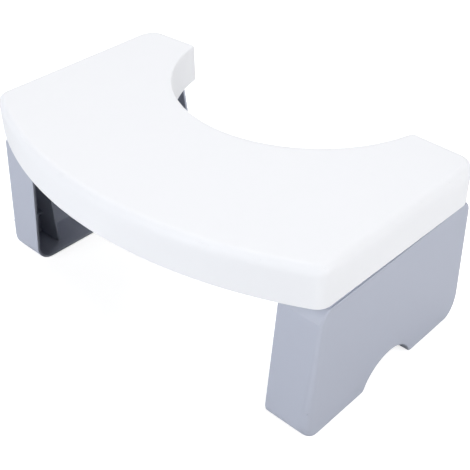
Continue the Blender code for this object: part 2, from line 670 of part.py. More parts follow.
def make_nut(name, side, middle, way, material):
    """A dished spring washer pushed on the pin, slit into teeth round its bore."""
    start = along_hinge(side, middle, way, LUG_FAR + CLEARANCE)
    axis = Vector((0, way, 0))
    bore = PIN_RADIUS + CLEARANCE
    rise = NUT_DISH - NUT_WALL

    def skin(form):
        first = axis.orthogonal().normalized()
        second = axis.cross(first)
        corners = ((bore, rise), (NUT_RADIUS, 0), (NUT_RADIUS, NUT_WALL), (bore, rise + NUT_WALL))
        loops = []
        for i in range(ROUND_SIDES):
            angle = 2 * pi * i / ROUND_SIDES
            spoke = first * cos(angle) + second * sin(angle)
            loops.append([form.verts.new(start + spoke * radius + axis * along) for radius, along in corners])
        for i, loop in enumerate(loops):
            following = loops[(i + 1) % ROUND_SIDES]
            for j in range(len(corners)):
                k = (j + 1) % len(corners)
                form.faces.new((loop[j], following[j], following[k], loop[k]))

    nut = add_object(name, skin, material)

    def slits(form):
        reach = bore + (NUT_RADIUS - bore) * NUT_SLIT_SHARE
        for i in range(NUT_TOOTH_COUNT):
            angle = 2 * pi * (i + 0.5) / NUT_TOOTH_COUNT
            out = Vector((cos(angle), 0, sin(angle)))
            beside = Vector((-sin(angle), 0, cos(angle))) * (NUT_SLIT / 2)
            near, far = start + out * (bore / 2), start + out * reach
            ring = [near - beside, far - beside, far + beside, near + beside]
            loft(form, [[p - axis * OVERRUN for p in ring], [p + axis * OVERRUN for p in ring]])

    combine(nut, add_object(f"{name}_slits", slits), "DIFFERENCE")


def make_catch(name, side, material):
    """A moulded plate on two screws with a springy tongue and a nose under the leg's head plate."""
    def plate(form):
        outline = rounded_rectangle((side * CATCH_X, LEG_CENTRE), CATCH_PLATE_WIDTH, CATCH_PLATE_LENGTH,
                                    CATCH_PLATE_CORNER)
        prism(form, outline, lambda p: p.to_3d() + Vector((0, 0, CATCH_LEVEL)),
              lambda p: p.to_3d() + Vector((0, 0, CATCH_TOP)))

    catch = add_object(f"leg_catch_{name}", plate, material)

    def tongue(form):
        inner, outer = CATCH_X - CATCH_TONGUE_WALL / 2, CATCH_X + CATCH_TONGUE_WALL / 2
        outline = [
            Vector((inner, CATCH_LEVEL + SINK)),
            Vector((inner, CATCH_TIP)),
            Vector((outer, CATCH_TIP)),
            NOSE_TIP,
            Vector((outer, CATCH_TIP + CATCH_NOSE_HEIGHT)),
            Vector((outer, CATCH_LEVEL + SINK)),
        ]
        prism(form, outline, lambda p: Vector((side * p.x, LEG_CENTRE - CATCH_TONGUE_WIDTH / 2, p.y)),
              lambda p: Vector((side * p.x, LEG_CENTRE + CATCH_TONGUE_WIDTH / 2, p.y)))

    combine(catch, add_object(f"catch_tongue_{name}", tongue), "UNION")

    def screw_holes(form):
        for y in SCREW_PLACES:
            start = Vector((side * CATCH_X, y, CATCH_LEVEL - OVERRUN))
            hole(form, start, Vector((0, 0, 1)), CATCH_PLATE_WALL + 2 * OVERRUN, SCREW_RADIUS)

    combine(catch, add_object(f"catch_holes_{name}", screw_holes), "DIFFERENCE")


def make_screw(name, side, y, material):
    """A pan-head screw with a drive recess, up through the catch into its boss."""
    start = Vector((side * CATCH_X, y, CATCH_LEVEL - CLEARANCE))
    tip = CLEARANCE + CATCH_PLATE_WALL + SCREW_LENGTH
    profile = (
        (SCREW_RECESS - SCREW_HEAD_HEIGHT, SCREW_RECESS_RADIUS * SCREW_RECESS_FLOOR_SHARE),
        (-SCREW_HEAD_HEIGHT, SCREW_RECESS_RADIUS),
        (-SCREW_HEAD_HEIGHT, SCREW_HEAD_RADIUS * SCREW_HEAD_FLAT_SHARE),
        (-SCREW_HEAD_HEIGHT / 2, SCREW_HEAD_RADIUS),
        (0, SCREW_HEAD_RADIUS),
        (0, SCREW_RADIUS),
        (tip - SCREW_RADIUS, SCREW_RADIUS),
        (tip, SCREW_RADIUS * SCREW_POINT_SHARE),
    )
    add_object(name, lambda form: turned(form, start, Vector((0, 0, 1)), profile, SCREW_SIDES), material)


def make_pad(name, side, sign, material, axis):
    """A rubber pad in its pocket under the foot, held by two pegs."""
    def slab(form):
        prism(form, pad_plan(side, sign, 0), lambda p: p.to_3d(),
              lambda p: p.to_3d() + Vector((0, 0, FOOT_LEVEL + PAD_POCKET - CLEARANCE)))

    pad = add_object(name, slab, material, axis)

    def pegs(form):
        for place in pad_pegs(side, sign):
            ends = ((FOOT_LEVEL, PAD_PEG_RADIUS), (PAD_PEG_LENGTH, PAD_PEG_RADIUS))
            turned(form, place, Vector((0, 0, 1)), ends)

    combine(pad, add_object(f"{name}_pegs", pegs), "UNION")


def make_axis(name, side):
    axis = bpy.data.objects.new(f"fold_axis_{name}", None)
    axis.location = Vector((side * HINGE_X, 0, HINGE_Z))
    bpy.context.scene.collection.objects.link(axis)
    return axis


def main():
    clear_scene()
    white = plastic("white_plastic", (0.88, 0.89, 0.90), 0.38)
    grey = plastic("grey_plastic", (0.47, 0.49, 0.56), 0.45)
    acetal = plastic("natural_acetal", (0.80, 0.80, 0.77), 0.40)
    steel = plastic("zinc_plated_steel", (0.62, 0.62, 0.60), 0.32, 1.0)
    spring = plastic("spring_steel", (0.30, 0.30, 0.31), 0.35, 1.0)
    rubber = plastic("grey_rubber", (0.20, 0.21, 0.23), 0.80)

    make_seat(white)
    for name, side in SIDES:
        axis = make_axis(name, side)
        make_leg(name, side, grey, axis)
        make_catch(name, side, acetal)
        for end, y in zip(("front", "rear"), SCREW_PLACES):
            make_screw(f"catch_screw_{name}_{end}", side, y, steel)
        for end, middle, way in HINGES:
            make_pin(f"hinge_pin_{name}_{end}", side, middle, way, steel)
            make_nut(f"push_nut_{name}_{end}", side, middle, way, spring)
            make_pad(f"foot_pad_{name}_{end}", side, way, rubber, axis)


main()
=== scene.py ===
"""A folding toilet footstool: a white moulded seat on two grey tray-shaped legs."""

from math import acos, atan2, ceil, cos, pi, radians, sin, sqrt, tan

import bmesh
import bpy
from mathutils import Matrix, Vector


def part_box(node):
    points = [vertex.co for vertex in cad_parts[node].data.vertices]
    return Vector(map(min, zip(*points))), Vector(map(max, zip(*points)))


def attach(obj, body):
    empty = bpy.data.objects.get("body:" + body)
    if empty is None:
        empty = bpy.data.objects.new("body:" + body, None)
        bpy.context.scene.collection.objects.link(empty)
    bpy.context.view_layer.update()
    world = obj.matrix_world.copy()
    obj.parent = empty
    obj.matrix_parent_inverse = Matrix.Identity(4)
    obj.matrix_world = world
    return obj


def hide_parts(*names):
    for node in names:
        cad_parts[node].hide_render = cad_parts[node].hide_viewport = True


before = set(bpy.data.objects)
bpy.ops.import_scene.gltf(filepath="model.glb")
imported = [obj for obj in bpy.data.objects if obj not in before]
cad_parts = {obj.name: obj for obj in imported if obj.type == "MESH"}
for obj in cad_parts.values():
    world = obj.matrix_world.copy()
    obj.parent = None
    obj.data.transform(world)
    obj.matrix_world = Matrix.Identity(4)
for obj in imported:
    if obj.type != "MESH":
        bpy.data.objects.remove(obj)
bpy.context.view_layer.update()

# Camera
# The photograph looks down on the front right corner of the stool from about 0.8 m away.
CAMERA_AZIMUTH = radians(43.809)
CAMERA_ELEVATION = radians(36.406)
CAMERA_ROLL = radians(-0.742)
CAMERA_DISTANCE = 0.80037
CAMERA_TARGET = Vector((0.02875, 0.00434, 0.07247))
CAMERA_NEAR_CLIP = 0.05
FOCAL_SHARE = 887.81 / 470   # focal length over the width of the picture
SENSOR_WIDTH = 36            # in millimetres, as Blender takes it

backward = Vector((
    sin(CAMERA_AZIMUTH) * cos(CAMERA_ELEVATION),
    -cos(CAMERA_AZIMUTH) * cos(CAMERA_ELEVATION),
    sin(CAMERA_ELEVATION),
))
level_right = Vector((cos(CAMERA_AZIMUTH), sin(CAMERA_AZIMUTH), 0))
level_up = backward.cross(level_right)
rightward = level_right * cos(CAMERA_ROLL) + level_up * sin(CAMERA_ROLL)
upward = level_up * cos(CAMERA_ROLL) - level_right * sin(CAMERA_ROLL)

camera_data = bpy.data.cameras.new("camera")
camera_data.sensor_width = SENSOR_WIDTH
camera_data.lens = FOCAL_SHARE * SENSOR_WIDTH
camera_data.clip_start = CAMERA_NEAR_CLIP
camera = bpy.data.objects.new("camera", camera_data)
camera_turn = Matrix((rightward, upward, backward)).transposed().to_4x4()
camera.matrix_world = Matrix.Translation(CAMERA_TARGET + backward * CAMERA_DISTANCE) @ camera_turn
bpy.context.scene.collection.objects.link(camera)
bpy.context.scene.camera = camera

# Floor, room and lamps
# A plain white floor that runs past the picture, under a weakly lit ceiling. Large soft lamps stand
# round the stool: two in front, a tall one on its right, and a wide one high up behind it on the left.
FLOOR_HALF_SIZE = 6.0
FLOOR_GREY = 0.55
FLOOR_ROUGHNESS = 0.9
FLOOR_SPECULAR = 0.1
FLOOR_GLOW = 0.80            # near the stool; it rises to full white between the next two distances
FLOOR_NEAR = 0.6
FLOOR_FAR = 1.6
CEILING_LOW = radians(38)    # the ceiling's light sets in at this height above the horizon
CEILING_FULL = radians(44)
CEILING_LIGHT = 0.20
LAMP_DISTANCE = 4.0
SQUARE = ((-1, -1), (1, -1), (1, 1), (-1, 1))
BLACK = (0, 0, 0)
WHITE = (1, 1, 1)
bpy.context.scene.view_settings.view_transform = "Standard"


class Value:
    """A socket in a node tree. Sums and products of it add Math nodes to the tree."""

    def __init__(self, tree, socket=None):
        self.tree = tree
        self.socket = socket

    def node(self, kind, settings=(), inputs=(), output=0):
        """Any other node, from its type, its settings and the values or links of its inputs."""
        made = self.tree.nodes.new(kind)
        for name, setting in dict(settings).items():
            setattr(made, name, setting)
        for name, value in dict(inputs).items():
            if isinstance(value, Value):
                self.tree.links.new(value.socket, made.inputs[name])
            else:
                made.inputs[name].default_value = value
        return Value(self.tree, made.outputs[output])

    def feed(self, node, name):
        self.tree.links.new(self.socket, node.inputs[name])

    def mix(self, first, second):
        """A colour between two others, with this value as the share of the second."""
        colours = {0: self, 6: (*first, 1), 7: (*second, 1)}
        return self.node("ShaderNodeMix", {"data_type": "RGBA"}, colours, 2)

    def math(self, operation, first, second):
        return self.node("ShaderNodeMath", {"operation": operation}, {0: first, 1: second})

    def __add__(self, other):
        return self.math("ADD", self, other)

    __radd__ = __add__

    def __mul__(self, other):
        return self.math("MULTIPLY", self, other)

    __rmul__ = __mul__

    def __sub__(self, other):
        return self.math("SUBTRACT", self, other)

    def __rsub__(self, other):
        return self.math("SUBTRACT", other, self)

    def __lt__(self, other):
        return self.math("LESS_THAN", self, other)


def new_material(name):
    """A material and its main shader."""
    material = bpy.data.materials.new(name)
    material.use_nodes = True
    return material, material.node_tree.nodes["Principled BSDF"]


floor_mesh = bpy.data.meshes.new("floor")
floor_corners = [(x * FLOOR_HALF_SIZE, y * FLOOR_HALF_SIZE, 0) for x, y in SQUARE]
floor_mesh.from_pydata(floor_corners, [], [(0, 1, 2, 3)])
floor = bpy.data.objects.new("floor", floor_mesh)
bpy.context.scene.collection.objects.link(floor)
floor_material, floor_shader = new_material("white_floor")
floor_shader.inputs["Base Color"].default_value = (FLOOR_GREY, FLOOR_GREY, FLOOR_GREY, 1)
floor_shader.inputs["Roughness"].default_value = FLOOR_ROUGHNESS
floor_shader.inputs["Specular IOR Level"].default_value = FLOOR_SPECULAR
floor_shader.inputs["Emission Strength"].default_value = 1
seen = Value(floor_material.node_tree).node("ShaderNodeLightPath", output="Is Camera Ray")
spot = seen.node("ShaderNodeTexCoord", output="Object")
away = spot.node("ShaderNodeVectorMath", {"operation": "LENGTH"}, {0: spot}, "Value")
glow = away.node("ShaderNodeMapRange", (), {
    0: away, "From Min": FLOOR_NEAR, "From Max": FLOOR_FAR, "To Min": FLOOR_GLOW, "To Max": 1,
})
(seen * glow).mix(BLACK, WHITE).feed(floor_shader, "Emission Color")
floor_mesh.materials.append(floor_material)

room = bpy.data.worlds.new("studio")
room.use_nodes = True
background = room.node_tree.nodes["Background"]
background.inputs["Color"].default_value = (*WHITE, 1)
direction = Value(room.node_tree).node("ShaderNodeTexCoord", output="Generated")
height = direction.node("ShaderNodeSeparateXYZ", (), {0: direction}, "Z")
light = height.node("ShaderNodeMapRange", (), {
    0: height, "From Min": sin(CEILING_LOW), "From Max": sin(CEILING_FULL),
    "To Min": 0, "To Max": CEILING_LIGHT,
})
seen = light.node("ShaderNodeLightPath", output="Is Camera Ray")
(light + seen * (1 - light)).feed(background, "Strength")
bpy.context.scene.world = room


def soft_lamp(name, degrees_right, degrees_up, width, height, watts, colour=WHITE):
    """A lamp that faces the stool, turned about it from straight in front to the right."""
    azimuth, elevation = radians(degrees_right), radians(degrees_up)
    data = bpy.data.lights.new(name, "AREA")
    data.shape = "RECTANGLE"
    data.size = width
    data.size_y = height
    data.energy = watts
    data.color = colour
    lamp = bpy.data.objects.new(name, data)
    lamp.location = Vector((
        sin(azimuth) * cos(elevation), -cos(azimuth) * cos(elevation), sin(elevation),
    )) * LAMP_DISTANCE
    lamp.rotation_euler = (-lamp.location).to_track_quat("-Z", "Y").to_euler()
    bpy.context.scene.collection.objects.link(lamp)


soft_lamp("lamp_front", -15, 14, width=2.0, height=2.0, watts=102, colour=(0.97, 0.99, 1.02))
soft_lamp("lamp_front_high", 5, 30, width=2.0, height=2.0, watts=29)
soft_lamp("lamp_right", 105, 25, width=2.0, height=3.0, watts=128)
soft_lamp("lamp_back", -128, 50, width=3.4, height=2.0, watts=104)


# Seat shell
# One white polypropylene moulding: a flat deck with a deep skirt all round, cut out at the back for
# the toilet bowl. Under the deck it has a grid of thin ribs, two lugs at each hinge and four bosses
# for the screws that hold the catches.
seat_low, seat_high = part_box("seat_shell")
SEAT_TOP = seat_high.z
SEAT_FRONT = seat_low.y
SKIRT_HEIGHT = 0.0373
SKIRT_LEVEL = SEAT_TOP - SKIRT_HEIGHT
SKIRT_WALL = 0.0028
DECK_WALL = 0.0032
DECK_LEVEL = SEAT_TOP - DECK_WALL
SEAT_DEPTH = 0.2457
SEAT_BACK = SEAT_FRONT + SEAT_DEPTH
SEAT_FRONT_HALF_WIDTH = 0.1929
SEAT_FLARE = 0.0034
SEAT_FRONT_RADIUS = 0.404
SEAT_FRONT_CORNER = 0.014
SEAT_HORN_CORNER = 0.018
SEAT_HORN_TIP = 0.0075
HORN_WIDTH = 0.0654
BOWL_DEPTH = 0.1072
TOP_EDGE_WIDTH = 0.0062
TOP_EDGE_DROP = 0.0092
TOP_EDGE_STEPS = 12
BOWL_EDGE_WIDTH = 0.0016     # the top edge is crisp along the bowl, and softens round the horn's tip
BOWL_EDGE_DROP = 0.0022
BOWL_EDGE_BLEND = 0.012
SKIRT_RIM_RADIUS = 0.0005
DECK_FILLET = 0.0010
FILLET_HOLD = 0.0006         # flat strip kept beside a fillet
SINK = 0.001                 # how far a rib or boss runs into its wall
CLEARANCE = 0.0003
OVERRUN = 0.004              # how far a cutter reaches past what it cuts
FACET_ANGLE = radians(5)     # a round's facets are no larger than this angle or the next length
FACET_LENGTH = 0.006
SMOOTH_ANGLE = radians(24)   # edges that turn more than this stay sharp
RIB_WALL = 0.0018
RIB_PITCH = 0.0375
RIB_RECESS = 0.003           # the ribs stop this far above the skirt's lower edge
RIB_LEVEL = SKIRT_LEVEL + RIB_RECESS
LEG_HEAD_INSET = 0.0008      # from the seat's back edge to the back of a leg's head
PLASTIC_SPECULAR = 0.32
CLOUD_SCALE = 14
FLOW_SCALE = 70
FLOW_DISTORTION = 1.2
FLOW_SHARE = 0.4             # of the flow marks in the colour; the rest is the broader cloud
FLOW_ROUGHNESS = 0.08
GRAIN_ROUGHNESS = 0.04
GRAIN_STRENGTH = 0.5
GRAIN_HEIGHT = 0.00004
CLOUD_UNEVENNESS = 3         # height of the cloud over that of the grain
SIDES = (("left", -1), ("right", 1))
UP = Vector((0, 0, 1))


def arc(centre, radius, start, end, facing=1):
    """Points and outward normals on an arc; facing is -1 where the solid lies outside the circle."""
    steps = ceil(max(abs(end - start) / FACET_ANGLE, abs(end - start) * radius / FACET_LENGTH))
    stations = []
    for i in range(steps + 1):
        angle = start + (end - start) * i / steps
        spoke = Vector((cos(angle), sin(angle)))
        stations.append((centre + spoke * radius, spoke * facing))
    return stations


def heading(vector):
    return atan2(vector.y, vector.x)


def edge_normal(a, b):
    along = (b - a).normalized()
    return Vector((along.y, -along.x))


def turn(centre, radius, first_normal, last_normal):
    """A convex rounding between two normals."""
    start, end = heading(first_normal), heading(last_normal)
    while end < start:
        end += 2 * pi
    return arc(centre, radius, start, end)


def line_corner(before, corner, after, radius):
    first, last = edge_normal(before, corner), edge_normal(corner, after)
    centre = corner - (first + last) * (radius / (1 + first.dot(last)))
    return turn(centre, radius, first, last)


def circle_meets_line(centre, radius, point, normal, towards):
    """The crossing of a circle and a line, on the side that towards points to."""
    distance = (point - centre).dot(normal)
    along = Vector((-normal.y, normal.x))
    if along.dot(towards) < 0:
        along.negate()
    return centre + normal * distance + along * sqrt(radius ** 2 - distance ** 2)


def inset(stations, distance):
    return [point - normal * distance for point, normal in stations]


def rounded_path(corners, steps, closed=False):
    """Straight runs through (x, y, radius) corners, each one rounded between two flat strips."""
    count = len(corners)
    points = [] if closed else [Vector(corners[0][:2])]
    for i in range(0, count) if closed else range(1, count - 1):
        before, corner, after = (Vector(corners[j % count][:2]) for j in (i - 1, i, i + 1))
        radius = corners[i][2]
        inward, onward = (before - corner).normalized(), (after - corner).normalized()
        half_angle = inward.angle(onward) / 2
        reach = radius / tan(half_angle)
        centre = corner + (inward + onward).normalized() * (radius / sin(half_angle))
        start = heading(corner + inward * reach - centre)
        sweep = (heading(corner + onward * reach - centre) - start + pi) % (2 * pi) - pi
        hold = min(FILLET_HOLD, radius)
        points.append(corner + inward * (reach + hold))
        for k in range(steps + 1):
            angle = start + sweep * k / steps
            points.append(centre + Vector((cos(angle), sin(angle))) * radius)
        points.append(corner + onward * (reach + hold))
    if not closed:
        points.append(Vector(corners[-1][:2]))
    return points


def new_piece(name, build, *values):
    """An object from a bmesh that is built in its place."""
    mesh = bpy.data.meshes.new(name)
    form = bmesh.new()
    build(form, *values)
    bmesh.ops.recalc_face_normals(form, faces=form.faces)
    form.to_mesh(mesh)
    form.free()
    piece = bpy.data.objects.new(name, mesh)
    bpy.context.scene.collection.objects.link(piece)
    return piece


def loft(form, rings):
    """Skin a row of rings of equal length and close both ends."""
    loops = [[form.verts.new(point) for point in ring] for ring in rings]
    count = len(loops[0])
    for lower, upper in zip(loops, loops[1:]):
        for i in range(count):
            j = (i + 1) % count
            form.faces.new((lower[i], lower[j], upper[j], upper[i]))
    form.faces.new(loops[0])
    form.faces.new(loops[-1])


def block(form, low, high):
    corners = ((low[0], low[1]), (high[0], low[1]), (high[0], high[1]), (low[0], high[1]))
    loft(form, [[Vector((x, y, z)) for x, y in corners] for z in (low[2], high[2])])


def turned(form, origin, axis, profile, sides=48):
    """A round piece about axis from origin; profile is (distance along, radius)."""
    first = axis.orthogonal().normalized()
    second = axis.cross(first)
    angles = [2 * pi * i / sides for i in range(sides)]
    spokes = [first * cos(angle) + second * sin(angle) for angle in angles]
    loft(form, [[origin + axis * distance + spoke * radius for spoke in spokes]
                for distance, radius in profile])


def hole(form, start, axis, depth, pin_radius):
    """A cutter for a bore with the usual clearance."""
    turned(form, start, axis, ((0, pin_radius + CLEARANCE), (depth, pin_radius + CLEARANCE)))


def prism(form, outline, to_start, to_end):
    loft(form, [[to_start(point) for point in outline], [to_end(point) for point in outline]])


def upright_prism(form, outline, low, high):
    prism(form, outline, lambda p: p.to_3d() + UP * low, lambda p: p.to_3d() + UP * high)


def lengthwise_prism(form, side, outline, start, end):
    """A prism along Y, from an outline in X and Z that is drawn for the right side."""
    prism(form, outline, lambda p: Vector((side * p.x, start, p.y)),
          lambda p: Vector((side * p.x, end, p.y)))


def as_plain_mesh(piece):
    """Turn what the modifiers make of a piece into its own mesh."""
    graph = bpy.context.evaluated_depsgraph_get()
    mesh = bpy.data.meshes.new_from_object(piece.evaluated_get(graph))
    piece.modifiers.clear()
    piece.data = mesh


def join(piece, operation, *tools):
    """Boolean a piece with its tools, which are used up."""
    for tool in tools:
        modifier = piece.modifiers.new(tool.name, "BOOLEAN")
        modifier.operation = operation
        modifier.solver = "EXACT"
        modifier.object = tool
    as_plain_mesh(piece)
    for tool in tools:
        bpy.data.objects.remove(tool)


class Recipe:
    """A Geometry Nodes tree with named inputs, whose result becomes a plain mesh of one material."""

    def __init__(self, name, **inputs):
        self.tree = bpy.data.node_groups.new(name, "GeometryNodeTree")
        self.identifiers = {}
        sockets = self.tree.interface
        for title, kind in inputs.items():
            made = sockets.new_socket(title, in_out="INPUT", socket_type=f"NodeSocket{kind}")
            self.identifiers[title] = made.identifier
        sockets.new_socket("Geometry", in_out="OUTPUT", socket_type="NodeSocketGeometry")
        self.given = self.tree.nodes.new("NodeGroupInput")

    def value(self, title):
        return Value(self.tree, self.given.outputs[title])

    def end(self, geometry):
        real = geometry.node("GeometryNodeRealizeInstances", (), {0: geometry})
        material = self.value("material")
        coloured = real.node("GeometryNodeSetMaterial", (), {0: real, "Material": material})
        coloured.feed(self.tree.nodes.new("NodeGroupOutput"), 0)

    def make(self, name, **values):
        piece = new_piece(name, lambda form: None)
        modifier = piece.modifiers.new(name, "NODES")
        modifier.node_group = self.tree
        for title, value in values.items():
            modifier[self.identifiers[title]] = value
        as_plain_mesh(piece)
        return piece


plates = Recipe("row_of_plates", count="Int", pitch="Vector", size="Vector", first="Vector",
                material="Material")
plate = plates.value("size").node("GeometryNodeMeshCube", (), {"Size": plates.value("size")})
row = plate.node("GeometryNodeMeshLine", {"mode": "OFFSET"}, {
    "Count": plates.value("count"),
    "Start Location": plates.value("first"),
    "Offset": plates.value("pitch"),
})
plates.end(row.node("GeometryNodeInstanceOnPoints", (), {"Points": row, "Instance": plate}))


def noise(place, scale, detail, distortion=0):
    return place.node("ShaderNodeTexNoise", (), {
        "Vector": place, "Scale": scale, "Detail": detail, "Distortion": distortion,
    })


def moulded(name, colour, cloud_colour, roughness, grain_scale):
    """Moulded plastic: even colour with faint cloudy flow, and the fine grain of the mould's face."""
    material, shader = new_material(name)
    shader.inputs["Specular IOR Level"].default_value = PLASTIC_SPECULAR
    place = Value(material.node_tree).node("ShaderNodeTexCoord", output="Object")
    cloud = noise(place, CLOUD_SCALE, 3)
    flow = noise(place, FLOW_SCALE, 4, FLOW_DISTORTION)
    grain = noise(place, grain_scale, 2)
    unevenness = cloud * (1 - FLOW_SHARE) + flow * FLOW_SHARE
    unevenness.mix(cloud_colour, colour).feed(shader, "Base Color")
    smoothest = roughness - (FLOW_ROUGHNESS + GRAIN_ROUGHNESS) / 2
    (flow * FLOW_ROUGHNESS + grain * GRAIN_ROUGHNESS + smoothest).feed(shader, "Roughness")
    grain.node("ShaderNodeBump", (), {
        "Strength": GRAIN_STRENGTH, "Distance": GRAIN_HEIGHT, "Height": grain + cloud * CLOUD_UNEVENNESS,
    }).feed(shader, "Normal")
    return material


white = moulded("white_polypropylene", (0.860, 0.868, 0.895), (0.842, 0.851, 0.880), 0.50, 2400)

side_front = Vector((SEAT_FRONT_HALF_WIDTH, SEAT_FRONT))
side_back = Vector((SEAT_FRONT_HALF_WIDTH + SEAT_FLARE, SEAT_BACK))
side_normal = edge_normal(side_front, side_back)
front_centre = Vector((0, SEAT_FRONT + SEAT_FRONT_RADIUS))
bowl_half_mouth = side_back.x - HORN_WIDTH
bowl_radius = (bowl_half_mouth ** 2 + BOWL_DEPTH ** 2) / (2 * BOWL_DEPTH)
bowl_centre = Vector((0, SEAT_BACK - BOWL_DEPTH + bowl_radius))

# Ends of a leg's head, between which the seat's ribs and hinges are set out
forward, rearward = Vector((0, -1)), Vector((0, 1))
front_corner = circle_meets_line(front_centre, SEAT_FRONT_RADIUS, side_front, side_normal, forward)
leg_head_front = front_corner.y
leg_head_back = SEAT_BACK - LEG_HEAD_INSET
leg_centre = (leg_head_front + leg_head_back) / 2


def seat_outline():
    """The seat from above, as points and outward normals from the middle of its front."""
    corner = circle_meets_line(front_centre, SEAT_FRONT_RADIUS - SEAT_FRONT_CORNER,
                               side_front - side_normal * SEAT_FRONT_CORNER, side_normal, forward)
    corner_normal = (corner - front_centre).normalized()
    tip = circle_meets_line(bowl_centre, bowl_radius + SEAT_HORN_TIP,
                            Vector((0, SEAT_BACK - SEAT_HORN_TIP)), rearward, Vector((1, 0)))
    tip_normal = (bowl_centre - tip).normalized()
    half = arc(front_centre, SEAT_FRONT_RADIUS, -pi / 2, heading(corner_normal))[:-1]
    half += turn(corner, SEAT_FRONT_CORNER, corner_normal, side_normal)
    half += line_corner(side_front, side_back, Vector((0, SEAT_BACK)), SEAT_HORN_CORNER)
    half += turn(tip, SEAT_HORN_TIP, rearward, tip_normal)[:-1]
    half += arc(bowl_centre, bowl_radius, heading(tip - bowl_centre), -pi / 2, -1)
    other = [(Vector((-p.x, p.y)), Vector((-n.x, n.y))) for p, n in reversed(half[1:-1])]
    return half + other


def seat_skin(form):
    """The open shell in one skin, from the middle of the deck's underside out and over to its top."""
    columns = []
    for point, normal in seat_outline():
        share = min(1, ((point - bowl_centre).length - bowl_radius) / BOWL_EDGE_BLEND)
        width = BOWL_EDGE_WIDTH + (TOP_EDGE_WIDTH - BOWL_EDGE_WIDTH) * share
        drop = BOWL_EDGE_DROP + (TOP_EDGE_DROP - BOWL_EDGE_DROP) * share
        section = rounded_path([
            (SKIRT_WALL + 3 * DECK_FILLET, DECK_LEVEL, 0),
            (SKIRT_WALL, DECK_LEVEL, DECK_FILLET),
            (SKIRT_WALL, SKIRT_LEVEL, SKIRT_RIM_RADIUS),
            (0, SKIRT_LEVEL, SKIRT_RIM_RADIUS),
            (0, SEAT_TOP - drop - FILLET_HOLD, 0),
        ], steps=9)
        for i in range(TOP_EDGE_STEPS + 1):
            angle = pi / 2 * i / TOP_EDGE_STEPS
            section.append((width * (1 - cos(angle)), SEAT_TOP - drop * (1 - sin(angle))))
        section.append((TOP_EDGE_WIDTH + 2 * FILLET_HOLD, SEAT_TOP))
        columns.append([(point - normal * distance).to_3d() + UP * z for distance, z in section])
    loft(form, zip(*columns))


def rib_core(form):
    """The room inside the skirt, a little larger, that trims the ribs."""
    upright_prism(form, inset(seat_outline(), SKIRT_WALL - SINK), RIB_LEVEL, DECK_LEVEL + SINK)


# Hinge: the axis, the ear of the leg and the lugs on both sides of it
HINGE_INSET = 0.0210
HINGE_INSIDE_RIM = 0.0030    # the axis lies this far inside the rim of the leg's foot
HINGE_RISE = 0.0022          # and this far above the skirt's lower edge
PIN_RADIUS = 0.0025
PIN_TAIL = 0.0026            # the end of the pin that stands out of the push nut
EAR_RADIUS = 0.0055
EAR_LENGTH = 0.0070
EAR_ROOT = 0.012
LUG_RADIUS = 0.0053
LUG_LENGTH = 0.0045
NUT_DISH = 0.0011
POCKET_MARGIN = 0.002
LUG_NEAR = EAR_LENGTH / 2 + CLEARANCE
LUG_FAR = LUG_NEAR + LUG_LENGTH
PIN_END = LUG_FAR + CLEARANCE + NUT_DISH + PIN_TAIL
HINGES = (
    ("front", leg_head_front + HINGE_INSET, -1),
    ("rear", leg_head_back - HINGE_INSET, 1),
)

# A leg from the front: its outer face and its rim at each height
LEG_INSET = 0.0013           # the leg's head stands this far inside the seat's side
LEG_LEAN = 0.0012
LEG_FOOT_DEPTH = 0.0424
LEG_HEAD_DEPTH = 0.0410
FOOT_LEVEL = 0.0009
HEAD_LEVEL = SKIRT_LEVEL - CLEARANCE
HEAD_HEIGHT = HEAD_LEVEL - FOOT_LEVEL
leg_head_half_width = side_front.x + SEAT_FLARE * (leg_centre - SEAT_FRONT) / SEAT_DEPTH - LEG_INSET


def leg_outer(z):
    return leg_head_half_width - LEG_LEAN * (HEAD_LEVEL - z) / HEAD_HEIGHT


def leg_depth(z):
    return LEG_FOOT_DEPTH + (LEG_HEAD_DEPTH - LEG_FOOT_DEPTH) * (z - FOOT_LEVEL) / HEAD_HEIGHT


def leg_rim(z):
    return leg_outer(z) - leg_depth(z)


hinge_x = min(leg_rim(FOOT_LEVEL) - HINGE_INSIDE_RIM, leg_rim(HEAD_LEVEL) - LUG_RADIUS - CLEARANCE)
hinge_z = SKIRT_LEVEL + HINGE_RISE

# Catch: the places of its tongue, its plate and the two screws
CATCH_INBOARD = 0.0185       # from the leg's outer face in to the tongue
CATCH_RISE = 0.0085          # from the skirt's lower edge up to the plate
CATCH_PLATE_WALL = 0.0024
CATCH_PLATE_LENGTH = 0.038
CATCH_PLATE_WIDTH = 0.011
SCREW_RADIUS = 0.0014
SCREW_LENGTH = 0.007
SCREW_END_MARGIN = 0.0055    # from each end of the plate to a screw
SCREW_TIP_ROOM = 0.0017
SCREW_BOSS_RADIUS = 0.0038
catch_x = leg_outer(HEAD_LEVEL) - CATCH_INBOARD
catch_level = SKIRT_LEVEL + CATCH_RISE
catch_top = catch_level + CATCH_PLATE_WALL
screw_reach = CATCH_PLATE_LENGTH / 2 - SCREW_END_MARGIN
screw_places = (leg_centre - screw_reach, leg_centre + screw_reach)


